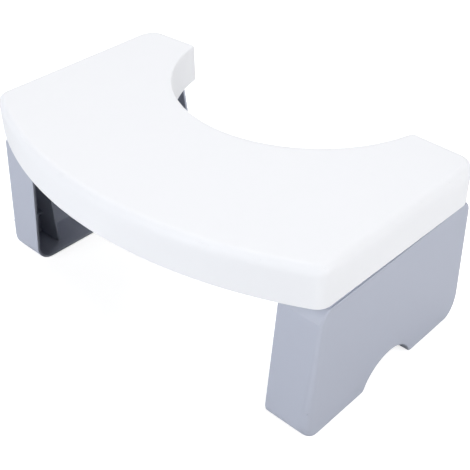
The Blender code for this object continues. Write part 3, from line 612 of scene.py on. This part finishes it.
def pockets(form):
    """Room in the rib grid for the catches and the hinges."""
    for _, side in SIDES:
        half_x = CATCH_PLATE_WIDTH / 2 + POCKET_MARGIN
        half_y = CATCH_PLATE_LENGTH / 2 + POCKET_MARGIN
        block(form, (side * catch_x - half_x, leg_centre - half_y, RIB_LEVEL - OVERRUN),
              (side * catch_x + half_x, leg_centre + half_y, catch_top + CLEARANCE))
        low_x = hinge_x - LUG_RADIUS - POCKET_MARGIN
        high_x = leg_rim(HEAD_LEVEL) + EAR_ROOT + POCKET_MARGIN
        top = hinge_z + EAR_RADIUS + POCKET_MARGIN
        xs = sorted((side * low_x, side * high_x))
        for _, middle, way in HINGES:
            pin_out = LUG_FAR + LUG_FAR + PIN_END + POCKET_MARGIN  # so that the pin can be pushed in
            ys = sorted((middle - way * pin_out, middle + way * (PIN_END + POCKET_MARGIN)))
            block(form, (xs[0], ys[0], RIB_LEVEL - OVERRUN), (xs[1], ys[1], top))


def posts(form):
    """The hinge lugs and the screw bosses."""
    top = DECK_LEVEL + SINK
    for _, side in SIDES:
        outline = [Vector((hinge_x + LUG_RADIUS, top)), Vector((hinge_x - LUG_RADIUS, top))]
        outline += inset(arc(Vector((hinge_x, hinge_z)), LUG_RADIUS, pi, 2 * pi), 0)
        for _, middle, _ in HINGES:
            for start in (middle + LUG_NEAR, middle - LUG_FAR):
                lengthwise_prism(form, side, outline, start, start + LUG_LENGTH)
        for y in screw_places:
            foot = Vector((side * catch_x, y, catch_top + CLEARANCE))
            turned(form, foot, UP, ((0, SCREW_BOSS_RADIUS), (top - foot.z, SCREW_BOSS_RADIUS)))


def seat_holes(form):
    for _, side in SIDES:
        for _, middle, way in HINGES:
            start = Vector((side * hinge_x, middle - way * (LUG_FAR + OVERRUN), hinge_z))
            hole(form, start, Vector((0, way, 0)), 2 * (LUG_FAR + OVERRUN), PIN_RADIUS)
        for y in screw_places:
            start = Vector((side * catch_x, y, catch_top - OVERRUN))
            hole(form, start, UP, OVERRUN + SCREW_LENGTH + SCREW_TIP_ROOM, SCREW_RADIUS)


rib_height = SEAT_TOP - RIB_LEVEL + 2 * OVERRUN
rib_middle = (RIB_LEVEL + SEAT_TOP) / 2
rib_columns = int(side_back.x / RIB_PITCH)
rib_start = leg_centre + RIB_PITCH / 2
first_rib_row = rib_start - RIB_PITCH * int((rib_start - SEAT_FRONT) / RIB_PITCH)
ribs = plates.make(
    "seat_ribs", material=white, count=2 * rib_columns + 1, pitch=(RIB_PITCH, 0, 0),
    size=(RIB_WALL, 2 * SEAT_DEPTH, rib_height), first=(-rib_columns * RIB_PITCH, 0, rib_middle),
)
across = plates.make(
    "seat_ribs_across", material=white, count=int((SEAT_BACK - first_rib_row) / RIB_PITCH) + 1,
    pitch=(0, RIB_PITCH, 0), size=(3 * SEAT_DEPTH, RIB_WALL, rib_height),
    first=(0, first_rib_row, rib_middle),
)
join(ribs, "UNION", across)
join(ribs, "DIFFERENCE", new_piece("seat_pockets", pockets))
join(ribs, "INTERSECT", new_piece("seat_rib_core", rib_core))

seat = new_piece("seat_moulding", seat_skin)
seat.data.materials.append(white)
join(seat, "UNION", ribs, new_piece("seat_posts", posts))
join(seat, "DIFFERENCE", new_piece("seat_holes", seat_holes))


def dress(piece, body, slot, *nodes):
    """Shade a finished piece and put it in place of the solids that it shows."""
    piece.data.shade_smooth()
    piece.data.set_sharp_from_angle(angle=SMOOTH_ANGLE)
    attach(piece, body)
    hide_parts(*nodes)


dress(seat, "root", "seat_plastic", "seat_shell")


# Legs
# Two grey polypropylene trays, open towards the middle of the stool, with rounded outer edges. Inside
# each are two upright ribs, two low ones along the panel, and two ears that the hinge pins go through.
LEG_FLARE = 0.01345
FOOT_FRONT_CORNER = 0.015
FOOT_BACK_CORNER = 0.021
HEAD_CORNER = 0.0155
HEAD_FACET = 0.0052          # flat facet that starts the head's front corner at a crease
HEAD_FACET_TURN = radians(26)
REVEAL_HEIGHT = 0.0034       # rebate along the panel's top, which shows as a dark line under the seat
REVEAL_DEPTH = 0.0021        # less than the panel's wall, so that it doesn't cut through
REVEAL_LIP = 0.0005
ARCH_RADIUS = 0.035
ARCH_RISE = 0.0235
ARCH_TOE_RADIUS = 0.004
LEG_WALL = 0.0026
LEG_FOOT_ROUNDING = 0.0085
LEG_HEAD_ROUNDING = 0.0020
LEG_RIM_ROUNDING = 0.0016
LEG_RIM_RADIUS = 0.0005
LEG_FILLET = 0.0006
LEG_RIB_WALL = 0.0018
LEG_RIB_FOOT_DEPTH = 0.0278
LEG_RIB_HEAD_DEPTH = 0.0245
LEG_SHELF_HEIGHT = 0.031     # of the lower of the two low ribs
LEG_SHELF_PITCH = 0.040
LEG_SHELF_DEPTH = 0.009
EAR_GUSSET_DEPTH = 0.024     # the gusset reaches this far in from the rim
EAR_GUSSET_DROP = 0.018      # and this far down it
CATCH_TONGUE_REACH = 0.0065  # the tongue ends this far below the head plate
CATCH_TONGUE_WALL = 0.0018
CATCH_TONGUE_WIDTH = 0.012
CATCH_NOSE = 0.0016
CATCH_NOSE_HEIGHT = 0.0032
CATCH_SLOT_MARGIN = 0.0012
PAD_POCKET = 0.0010
PAD_MARGIN = 0.0050
PAD_CORNER = 0.0030
PAD_PEG_RADIUS = 0.0024
PAD_PEG_SHARE = 0.28
PAD_SOCKET_TOP = 0.0030      # the pegs' sockets stop short of the foot's inside

grey = moulded("grey_polypropylene", (0.462, 0.488, 0.572), (0.447, 0.474, 0.559), 0.46, 1700)

leg_front = leg_head_front - LEG_FLARE
leg_back = leg_head_back + LEG_FLARE
catch_tip = HEAD_LEVEL - LEG_WALL - CATCH_TONGUE_REACH
nose_tip = Vector((
    catch_x + CATCH_TONGUE_WALL / 2 + CATCH_NOSE,
    catch_tip + CATCH_NOSE_HEIGHT * 2 / 3,
))
slot_inner = catch_x - CATCH_TONGUE_WALL / 2 - CATCH_SLOT_MARGIN
slot_outer = hinge_x + (nose_tip - Vector((hinge_x, hinge_z))).length + CLEARANCE


def facet_corner(before, corner, after):
    """The corner as an arc, which ends in a facet that meets the next edge at a crease."""
    last = edge_normal(corner, after)
    facet_normal = Matrix.Rotation(-HEAD_FACET_TURN, 2) @ last
    crease = line_corner(before, corner, after, HEAD_CORNER)[-1][0]
    start = crease + Vector((facet_normal.y, -facet_normal.x)) * HEAD_FACET
    top_normal = edge_normal(before, corner)
    radius = (corner - start).dot(top_normal) / (1 - facet_normal.dot(top_normal))
    stations = turn(start - facet_normal * radius, radius, top_normal, facet_normal)
    return stations + [(crease, (facet_normal + last) / (1 + facet_normal.dot(last)))]


def leg_outline():
    """A leg from the side, in (Y, Z)."""
    foot_front, foot_back = Vector((leg_front, FOOT_LEVEL)), Vector((leg_back, FOOT_LEVEL))
    head_front, head_back = Vector((leg_head_front, HEAD_LEVEL)), Vector((leg_head_back, HEAD_LEVEL))
    arch_centre = Vector((leg_centre, FOOT_LEVEL + ARCH_RISE - ARCH_RADIUS))
    down = Vector((0, -1))
    toe = circle_meets_line(arch_centre, ARCH_RADIUS + ARCH_TOE_RADIUS,
                            Vector((0, FOOT_LEVEL + ARCH_TOE_RADIUS)), down, Vector((-1, 0)))
    heel = Vector((2 * leg_centre - toe.x, toe.y))
    arch_start, arch_end = heading(toe - arch_centre), heading(heel - arch_centre)
    stations = line_corner(head_front, foot_front, foot_back, FOOT_FRONT_CORNER)
    stations += turn(toe, ARCH_TOE_RADIUS, down, arch_centre - toe)[:-1]
    stations += arc(arch_centre, ARCH_RADIUS, arch_start, arch_end, -1)[:-1]
    stations += turn(heel, ARCH_TOE_RADIUS, arch_centre - heel, down)
    stations += line_corner(foot_front, foot_back, head_back, FOOT_BACK_CORNER)
    stations += line_corner(foot_back, head_back, head_front, HEAD_CORNER)
    return stations + facet_corner(head_back, head_front, foot_front)


def edge_rounding(point, normal):
    """Large on the panel's front and back edges, dwindling from foot to head; small elsewhere."""
    if leg_head_front + HINGE_INSET < point.x < leg_head_back - HINGE_INSET:
        return LEG_RIM_ROUNDING
    share = (point.y - FOOT_LEVEL) / HEAD_HEIGHT
    flank = LEG_FOOT_ROUNDING + (LEG_HEAD_ROUNDING - LEG_FOOT_ROUNDING) * share
    return LEG_RIM_ROUNDING + (flank - LEG_RIM_ROUNDING) * normal.x ** 2


def leg_skin(form, side):
    """The tray in one skin, from inside the panel round its rim to the outside of the panel."""
    columns = []
    for point, normal in leg_outline():
        rounding = edge_rounding(point, normal)
        depth = leg_depth(point.y)
        section = rounded_path([
            (LEG_WALL + 3 * LEG_FILLET, LEG_WALL, 0),
            (LEG_WALL, LEG_WALL, LEG_FILLET),
            (LEG_WALL, depth, LEG_RIM_RADIUS),
            (0, depth, LEG_RIM_RADIUS),
            (0, 0, rounding),
            (rounding + 2 * FILLET_HOLD, 0, 0),
        ], steps=8)
        column = []
        for distance, inward in section:
            moved = point - normal * distance
            column.append(Vector((side * (leg_outer(moved.y) - inward), moved.x, moved.y)))
        columns.append(column)
    loft(form, zip(*columns))


def leg_core(form, side):
    """The room inside a leg's walls, a little larger, that trims its ribs."""
    outline = inset(leg_outline(), LEG_WALL - SINK)
    prism(form, outline, lambda p: Vector((side * leg_rim(p.y), p.x, p.y)),
          lambda p: Vector((side * (leg_outer(p.y) - LEG_WALL + SINK), p.x, p.y)))


def tall_ribs(form, side):
    outline = [
        Vector((leg_outer(FOOT_LEVEL), FOOT_LEVEL)),
        Vector((leg_outer(HEAD_LEVEL), HEAD_LEVEL)),
        Vector((leg_outer(HEAD_LEVEL) - LEG_WALL - LEG_RIB_HEAD_DEPTH, HEAD_LEVEL)),
        Vector((leg_outer(FOOT_LEVEL) - LEG_WALL - LEG_RIB_FOOT_DEPTH, FOOT_LEVEL)),
    ]
    for _, middle, _ in HINGES:
        lengthwise_prism(form, side, outline, middle - LEG_RIB_WALL / 2, middle + LEG_RIB_WALL / 2)


def ears(form, side):
    """Plates with a round end about the hinge axis, an arm to the head plate and a gusset under it."""
    axis = Vector((hinge_x, hinge_z))
    rim = leg_rim(HEAD_LEVEL)
    root = Vector((rim + EAR_ROOT, HEAD_LEVEL - LEG_WALL / 2))
    corner = Vector((rim + EAR_GUSSET_DEPTH, HEAD_LEVEL - LEG_WALL / 2))
    low = Vector((leg_rim(HEAD_LEVEL - EAR_GUSSET_DROP), HEAD_LEVEL - EAR_GUSSET_DROP))
    start = heading(root - axis) + acos(EAR_RADIUS / (root - axis).length)
    end = heading(low - axis) - acos(EAR_RADIUS / (low - axis).length) + 2 * pi
    outline = inset(arc(axis, EAR_RADIUS, start, end), 0) + [low, corner, root]
    for _, middle, _ in HINGES:
        lengthwise_prism(form, side, outline, middle - EAR_LENGTH / 2, middle + EAR_LENGTH / 2)


def leg_cuts(form, side):
    """The bores of the ears and the catch's slot in the head plate."""
    for _, middle, way in HINGES:
        start = Vector((side * hinge_x, middle - way * EAR_LENGTH, hinge_z))
        hole(form, start, Vector((0, way, 0)), 2 * EAR_LENGTH, PIN_RADIUS)
    xs = sorted((side * slot_inner, side * slot_outer))
    half_y = CATCH_TONGUE_WIDTH / 2 + CATCH_SLOT_MARGIN
    block(form, (xs[0], leg_centre - half_y, HEAD_LEVEL - LEG_WALL - OVERRUN),
          (xs[1], leg_centre + half_y, HEAD_LEVEL + OVERRUN))


def reveal(form, side):
    """The rebate along the panel's top edge, with its lip broken."""
    outer, low = leg_outer(HEAD_LEVEL), HEAD_LEVEL - REVEAL_HEIGHT
    reach = REVEAL_LIP + OVERRUN
    outline = [Vector(point) for point in (
        (outer - REVEAL_DEPTH, HEAD_LEVEL + OVERRUN),
        (outer - REVEAL_DEPTH, low),
        (outer - REVEAL_LIP, low),
        (outer - REVEAL_LIP + reach, low - reach),
        (outer - REVEAL_LIP + reach, HEAD_LEVEL + OVERRUN),
    )]
    lengthwise_prism(form, side, outline, leg_front, leg_back)


def rounded_rectangle(x, y, length_x, length_y, corner):
    points = [Vector((x + i * length_x / 2, y + j * length_y / 2)) for i, j in SQUARE]
    outline = []
    for i, point in enumerate(points):
        outline += line_corner(points[i - 1], point, points[(i + 1) % 4], corner)
    return outline


def pad_span(way):
    """The foot face in front of the arch or behind it, as its middle and length along Y."""
    half_arch = sqrt((ARCH_RADIUS + ARCH_TOE_RADIUS) ** 2
                     - (ARCH_RADIUS - ARCH_RISE + ARCH_TOE_RADIUS) ** 2)
    corner = FOOT_FRONT_CORNER if way < 0 else FOOT_BACK_CORNER
    near, far = half_arch + PAD_MARGIN / 2, (leg_back - leg_front) / 2 - corner - PAD_MARGIN / 2
    return leg_centre + way * (near + far) / 2, far - near


def pad_plan(side, way):
    middle, length = pad_span(way)
    low, high = leg_rim(FOOT_LEVEL) + PAD_MARGIN, leg_outer(FOOT_LEVEL) - PAD_MARGIN
    return rounded_rectangle(side * (low + high) / 2, middle, high - low, length, PAD_CORNER)


def pad_pegs(side, way):
    middle, length = pad_span(way)
    x = side * (leg_rim(FOOT_LEVEL) + leg_outer(FOOT_LEVEL)) / 2
    return [Vector((x, middle + share * length, 0)) for share in (-PAD_PEG_SHARE, PAD_PEG_SHARE)]


def pad_sockets(form, side):
    for _, _, way in HINGES:
        outline = inset(pad_plan(side, way), -CLEARANCE)
        upright_prism(form, outline, -OVERRUN, FOOT_LEVEL + PAD_POCKET)


def peg_holes(form, side):
    for _, _, way in HINGES:
        for place in pad_pegs(side, way):
            hole(form, place, UP, PAD_SOCKET_TOP, PAD_PEG_RADIUS)


for name, side in SIDES:
    ribs = new_piece("leg_ribs", tall_ribs, side)
    shelves = plates.make(
        "leg_shelves", material=grey, count=2, pitch=(0, 0, LEG_SHELF_PITCH),
        size=(2 * (LEG_WALL + LEG_SHELF_DEPTH), leg_back - leg_front, LEG_RIB_WALL),
        first=(side * leg_outer(LEG_SHELF_HEIGHT), (leg_front + leg_back) / 2, LEG_SHELF_HEIGHT),
    )
    join(ribs, "UNION", shelves)
    join(ribs, "INTERSECT", new_piece("leg_core", leg_core, side))
    leg = new_piece(f"leg_moulding_{name}", leg_skin, side)
    leg.data.materials.append(grey)
    join(leg, "UNION", ribs, new_piece("leg_ears", ears, side))
    cuts = (leg_cuts, reveal, pad_sockets, peg_holes)
    join(leg, "DIFFERENCE", *(new_piece("leg_cutter", cut, side) for cut in cuts))
    dress(leg, f"leg_{name}", "leg_plastic", f"leg_{name}")


# Catches
# Two white acetal mouldings, each a plate held up under the seat by two screws, with a springy tongue
# that goes through the leg's head plate and holds it by its nose.
CATCH_PLATE_CORNER = 0.003
CATCH_EDGE = 0.0004
CATCH_ROOT = 0.0010          # the tongue's root is this much thicker on each side

acetal = moulded("white_acetal", (0.80, 0.80, 0.77), (0.77, 0.77, 0.74), 0.36, 3000)


def slab(form, outline, low, high, edge):
    """A level plate with rounded edges all round."""
    section = rounded_path([
        (3 * edge, low, 0), (0, low, edge), (0, high, edge), (3 * edge, high, 0),
    ], steps=4)
    loft(form, [[p.to_3d() + UP * z for p in inset(outline, distance)] for distance, z in section])


def catch_plate(form, side):
    outline = rounded_rectangle(side * catch_x, leg_centre, CATCH_PLATE_WIDTH, CATCH_PLATE_LENGTH,
                                CATCH_PLATE_CORNER)
    slab(form, outline, catch_level, catch_top, CATCH_EDGE)


def catch_tongue(form, side):
    """The tongue, widened at its root, with the nose on its outer side."""
    inner, outer = catch_x - CATCH_TONGUE_WALL / 2, catch_x + CATCH_TONGUE_WALL / 2
    top = catch_level + SINK
    outline = rounded_path([
        (inner - CATCH_ROOT, top, CATCH_EDGE),
        (inner - CATCH_ROOT, catch_level - CATCH_EDGE, CATCH_EDGE),
        (inner, catch_level - 2 * CATCH_ROOT, CATCH_ROOT),
        (inner, catch_tip, CATCH_EDGE),
        (outer, catch_tip, CATCH_EDGE / 2),
        (nose_tip.x, nose_tip.y, CATCH_EDGE / 2),
        (outer, catch_tip + CATCH_NOSE_HEIGHT, CATCH_EDGE / 2),
        (outer, catch_level - 2 * CATCH_ROOT, CATCH_ROOT),
        (outer + CATCH_ROOT, catch_level - CATCH_EDGE, CATCH_EDGE),
        (outer + CATCH_ROOT, top, CATCH_EDGE),
    ], steps=4, closed=True)
    half = CATCH_TONGUE_WIDTH / 2
    lengthwise_prism(form, side, outline, leg_centre - half, leg_centre + half)


def catch_holes(form, side):
    for y in screw_places:
        hole(form, Vector((side * catch_x, y, catch_level - OVERRUN)), UP, 3 * OVERRUN, SCREW_RADIUS)


for name, side in SIDES:
    catch = new_piece(f"catch_moulding_{name}", catch_plate, side)
    catch.data.materials.append(acetal)
    join(catch, "UNION", new_piece("catch_tongue", catch_tongue, side))
    join(catch, "DIFFERENCE", new_piece("catch_holes", catch_holes, side))
    dress(catch, "root", "catch_plastic", f"leg_catch_{name}")


# Catch screws
# Four zinc-plated pan-head screws with a cross recess, driven up through the catches into the bosses.
SCREW_HEAD_RADIUS = 0.0028
SCREW_HEAD_HEIGHT = 0.0019
SCREW_CROWN = (0.9, 0.0006)  # radius of the head's flat top over that of its rim, and its rounding
SCREW_RIM = 0.3              # height of the rim, over that of the head
RIM_ROUNDING = 0.0003
SCREW_THREAD_PITCH = 0.0011
SCREW_THREAD_DEPTH = 0.0003
SCREW_ROOT_SHARE = 0.3       # of the pitch, at which the thread leaves its root
SCREW_CREST_SHARE = 0.6      # and at which it is at its full height
RECESS_MOUTH = (-0.0004, 0.0017, 0.00042)  # depth, reach and half width of the drive's cross
RECESS_FLOOR = (0.0011, 0.0006, 0.0002)
POLE_RADIUS = 0.0001         # of the small flat that closes the end of a turned piece
EDGE_BREAK = 0.0001
TARNISH_SCALE = 420
TARNISH_ROUGHNESS = 0.12
SCRATCH_SCALE = 3200
SCRATCH_DISTORTION = 2
SCRATCH_ROUGHNESS = 0.1
SCRATCH_STRENGTH = 0.4
SCRATCH_HEIGHT = 0.00002
BRIGHTEST = 0.1              # roughness of the brightest places, below that of the plating


def plated(name, colour, dark, roughness):
    """Steel with a thin plating that is a little cloudy and finely scratched."""
    material, shader = new_material(name)
    shader.inputs["Metallic"].default_value = 1
    place = Value(material.node_tree).node("ShaderNodeTexCoord", output="Object")
    tarnish = noise(place, TARNISH_SCALE, 4)
    scratch = noise(place, SCRATCH_SCALE, 2, SCRATCH_DISTORTION)
    tarnish.mix(dark, colour).feed(shader, "Base Color")
    dullness = tarnish * TARNISH_ROUGHNESS + scratch * SCRATCH_ROUGHNESS
    (dullness + (roughness - BRIGHTEST)).feed(shader, "Roughness")
    scratch.node("ShaderNodeBump", (), {
        "Strength": SCRATCH_STRENGTH, "Distance": SCRATCH_HEIGHT, "Height": scratch,
    }).feed(shader, "Normal")
    return material


zinc = plated("zinc_plate", (0.66, 0.66, 0.65), (0.52, 0.52, 0.50), 0.32)


def head(base, height, radius, crown, rim, shank_radius, steps):
    """A fastener's head in profile, from the middle of its top to its shank."""
    crown_share, crown_rounding = crown
    return rounded_path([
        (base - height, POLE_RADIUS, 0),
        (base - height, radius * crown_share, crown_rounding),
        (base - height * rim, radius, RIM_ROUNDING),
        (base, radius, EDGE_BREAK),
        (base, shank_radius, 0),
    ], steps)


def screw(form):
    """A screw that points up from the underside of its head."""
    tip = CLEARANCE + CATCH_PLATE_WALL + SCREW_LENGTH
    root = SCREW_RADIUS - SCREW_THREAD_DEPTH
    profile = head(0, SCREW_HEAD_HEIGHT, SCREW_HEAD_RADIUS, SCREW_CROWN, SCREW_RIM, SCREW_RADIUS, 4)
    for i in range(int((tip - SCREW_RADIUS) / SCREW_THREAD_PITCH)):
        start = CLEARANCE + i * SCREW_THREAD_PITCH
        profile += [
            Vector((start, root)),
            Vector((start + SCREW_ROOT_SHARE * SCREW_THREAD_PITCH, root)),
            Vector((start + SCREW_CREST_SHARE * SCREW_THREAD_PITCH, SCREW_RADIUS)),
        ]
    profile.append(Vector((tip, SCREW_RADIUS / 3)))
    turned(form, Vector(), UP, profile, sides=32)


def cross_recess(form):
    """Two crossed bars, tapered downwards, that cut the drive recess into the head."""
    for i in range(2):
        along = Vector((cos(pi * i / 2), sin(pi * i / 2), 0))
        beside = Vector((-along.y, along.x, 0))
        rings = []
        for depth, reach, half_width in (RECESS_MOUTH, RECESS_FLOOR):
            middle = UP * (depth - SCREW_HEAD_HEIGHT)
            rings.append([along * (a * reach) + beside * (b * half_width) + middle for a, b in SQUARE])
        loft(form, rings)


one_screw = new_piece("one_screw", screw)
join(one_screw, "DIFFERENCE", new_piece("cross_recess", cross_recess))

# The same piece at four places, two on each side; the front ones are turned to face the other way
four = Recipe("four_alike", piece="Object", spread_x="Float", spread_y="Float", middle="Vector",
              material="Material")
given = four.value("piece")
model = given.node("GeometryNodeObjectInfo", (), {"Object": given}, "Geometry")
corners = model.node("GeometryNodeMeshGrid", (), {
    "Size X": four.value("spread_x"), "Size Y": four.value("spread_y"),
    "Vertices X": 2, "Vertices Y": 2,
})
where = corners.node("GeometryNodeInputPosition")
lengthwise = where.node("ShaderNodeSeparateXYZ", (), {0: where}, "Y")
facing = where.node("ShaderNodeCombineXYZ", (), {"Z": (lengthwise < 0) * pi})
copies = corners.node("GeometryNodeInstanceOnPoints", (), {
    "Points": corners, "Instance": model,
    "Rotation": facing.node("FunctionNodeEulerToRotation", (), {0: facing}),
})
four.end(copies.node("GeometryNodeTransform", (), {0: copies, "Translation": four.value("middle")}))


def fix_four(name, template, spread_x, spread_y, middle, material, slot, kind):
    """Put a small piece in its four places, as one piece that shows the four nodes of its kind."""
    piece = four.make(name, piece=template, spread_x=spread_x, spread_y=spread_y, middle=middle,
                      material=material)
    bpy.data.objects.remove(template)
    dress(piece, "root", slot, *(f"{kind}_{side}_{end}" for side, _ in SIDES for end, _, _ in HINGES))


fix_four("catch_screws", one_screw, 2 * catch_x, 2 * screw_reach,
         (0, leg_centre, catch_level - CLEARANCE), zinc, "zinc_steel", "catch_screw")


# Hinge pins
# Four zinc-plated steel pins with a low domed head. Each goes through a lug, the leg's ear and the
# other lug, and is chamfered at its tail for the push nut.
PIN_HEAD_RADIUS = 0.0045
PIN_HEAD_LENGTH = 0.0014
PIN_CROWN = (0.85, 0.0008)
PIN_RIM = 0.4
PIN_CHAMFER = 0.0004
PIN_CHAMFER_ROUNDING = 0.0002
hinge_middle = (HINGES[0][1] + HINGES[1][1]) / 2
hinge_spread = HINGES[1][1] - HINGES[0][1]


def pin(form):
    """A pin along Y about the middle of its ear, with its tail at +Y."""
    start = -LUG_FAR - CLEARANCE
    profile = head(start, PIN_HEAD_LENGTH, PIN_HEAD_RADIUS, PIN_CROWN, PIN_RIM, PIN_RADIUS, 5)[:-1]
    profile += rounded_path([
        (start, PIN_RADIUS, 0),
        (PIN_END - PIN_CHAMFER, PIN_RADIUS, PIN_CHAMFER_ROUNDING),
        (PIN_END, PIN_RADIUS - PIN_CHAMFER, EDGE_BREAK),
        (PIN_END, POLE_RADIUS, 0),
    ], steps=3)
    turned(form, Vector(), Vector((0, 1, 0)), profile)


fix_four("hinge_pins", new_piece("one_pin", pin), 2 * hinge_x, hinge_spread,
         (0, hinge_middle, hinge_z), zinc, "zinc_steel", "hinge_pin")


# Push nuts
# Four dished spring-steel washers, pushed on the tails of the pins, whose slit bores grip them.
NUT_RADIUS = 0.0052
NUT_WALL = 0.0006
NUT_FLAT = 0.0016            # the flat rim begins this far from the bore
NUT_FLANK = 0.0011           # the dish bends this far from the bore
NUT_FLANK_SHARE = 0.45       # and there it has this share of its rise
NUT_FACETS = 60
NUT_TEETH = 6
SLIT_START = 0.002
SLIT_SHARE = 0.52            # of the way from the pin to the nut's rim
SLIT_HALF_WIDTH = 0.00055
SLIT_CORNER = 0.00025

spring = plated("spring_steel", (0.34, 0.34, 0.35), (0.24, 0.24, 0.26), 0.34)


def nut(form):
    """A flat rim with a dished middle, closed into a ring round the bore."""
    axis = Vector((0, 1, 0))
    bore = PIN_RADIUS + CLEARANCE
    rise = NUT_DISH - NUT_WALL
    ring = (
        (bore, rise),
        (bore + NUT_FLANK, rise * NUT_FLANK_SHARE),
        (bore + NUT_FLAT, 0),
        (NUT_RADIUS - EDGE_BREAK, 0),
        (NUT_RADIUS, EDGE_BREAK),
        (NUT_RADIUS, NUT_WALL - EDGE_BREAK),
        (NUT_RADIUS - EDGE_BREAK, NUT_WALL),
        (bore + NUT_FLAT, NUT_WALL),
        (bore + NUT_FLANK, rise * NUT_FLANK_SHARE + NUT_WALL),
        (bore, rise + NUT_WALL),
    )
    start = axis * (LUG_FAR + CLEARANCE)
    loops = []
    for i in range(NUT_FACETS):
        angle = 2 * pi * i / NUT_FACETS
        spoke = Vector((cos(angle), 0, sin(angle)))
        loops.append([form.verts.new(start + spoke * radius + axis * along) for radius, along in ring])
    for i, loop in enumerate(loops):
        following = loops[(i + 1) % NUT_FACETS]
        for j in range(len(ring)):
            k = (j + 1) % len(ring)
            form.faces.new((loop[j], following[j], following[k], loop[k]))


def nut_slits(form):
    reach = PIN_RADIUS + (NUT_RADIUS - PIN_RADIUS) * SLIT_SHARE
    through = Vector((0, PIN_END + OVERRUN, 0))
    outline = rounded_path([
        (SLIT_START, -SLIT_HALF_WIDTH, 0),
        (reach, -SLIT_HALF_WIDTH, SLIT_CORNER),
        (reach, SLIT_HALF_WIDTH, SLIT_CORNER),
        (SLIT_START, SLIT_HALF_WIDTH, 0),
    ], steps=3)
    for i in range(NUT_TEETH):
        angle = 2 * pi * (i + 0.5) / NUT_TEETH
        out = Vector((cos(angle), 0, sin(angle)))
        beside = Vector((-sin(angle), 0, cos(angle)))
        prism(form, outline, lambda p: out * p.x + beside * p.y,
              lambda p: out * p.x + beside * p.y + through)


one_nut = new_piece("one_nut", nut)
join(one_nut, "DIFFERENCE", new_piece("nut_slits", nut_slits))
fix_four("push_nuts", one_nut, 2 * hinge_x, hinge_spread,
         (0, hinge_middle, hinge_z), spring, "spring_steel", "push_nut")


# Foot pads
# Four soft rubber pads in pockets under the feet, ribbed across for grip, each placed by two short pegs
# in blind sockets and glued.
PAD_EDGE = 0.0003
PAD_PEG_EDGE = 0.0005
PAD_GROOVE = 0.0014
PAD_GROOVE_DEPTH = 0.0004
PAD_GROOVE_PITCH = 0.0042

rubber = moulded("grey_rubber", (0.330, 0.348, 0.405), (0.305, 0.322, 0.378), 0.78, 1500)


def pad_slabs(form, side):
    for _, _, way in HINGES:
        slab(form, pad_plan(side, way), 0, FOOT_LEVEL + PAD_POCKET - CLEARANCE, PAD_EDGE)


def pegs(form, side):
    top = PAD_SOCKET_TOP - CLEARANCE
    profile = rounded_path([
        (FOOT_LEVEL, PAD_PEG_RADIUS, 0), (top, PAD_PEG_RADIUS, PAD_PEG_EDGE), (top, POLE_RADIUS, 0),
    ], steps=4)
    for _, _, way in HINGES:
        for place in pad_pegs(side, way):
            turned(form, place, UP, profile, sides=32)


for name, side in SIDES:
    pads = new_piece(f"foot_pads_{name}", pad_slabs, side)
    pads.data.materials.append(rubber)
    join(pads, "UNION", new_piece("pad_pegs", pegs, side))
    low, high = leg_rim(FOOT_LEVEL) + 2 * PAD_MARGIN, leg_outer(FOOT_LEVEL) - 2 * PAD_MARGIN
    grooves = plates.make(
        "pad_grooves", material=rubber, count=int((leg_back - leg_front) / PAD_GROOVE_PITCH),
        pitch=(0, PAD_GROOVE_PITCH, 0), size=(high - low, PAD_GROOVE, 2 * PAD_GROOVE_DEPTH),
        first=(side * (low + high) / 2, leg_front, 0),
    )
    join(pads, "DIFFERENCE", grooves)
    dress(pads, f"leg_{name}", "pad_rubber", f"foot_pad_{name}_front", f"foot_pad_{name}_rear")
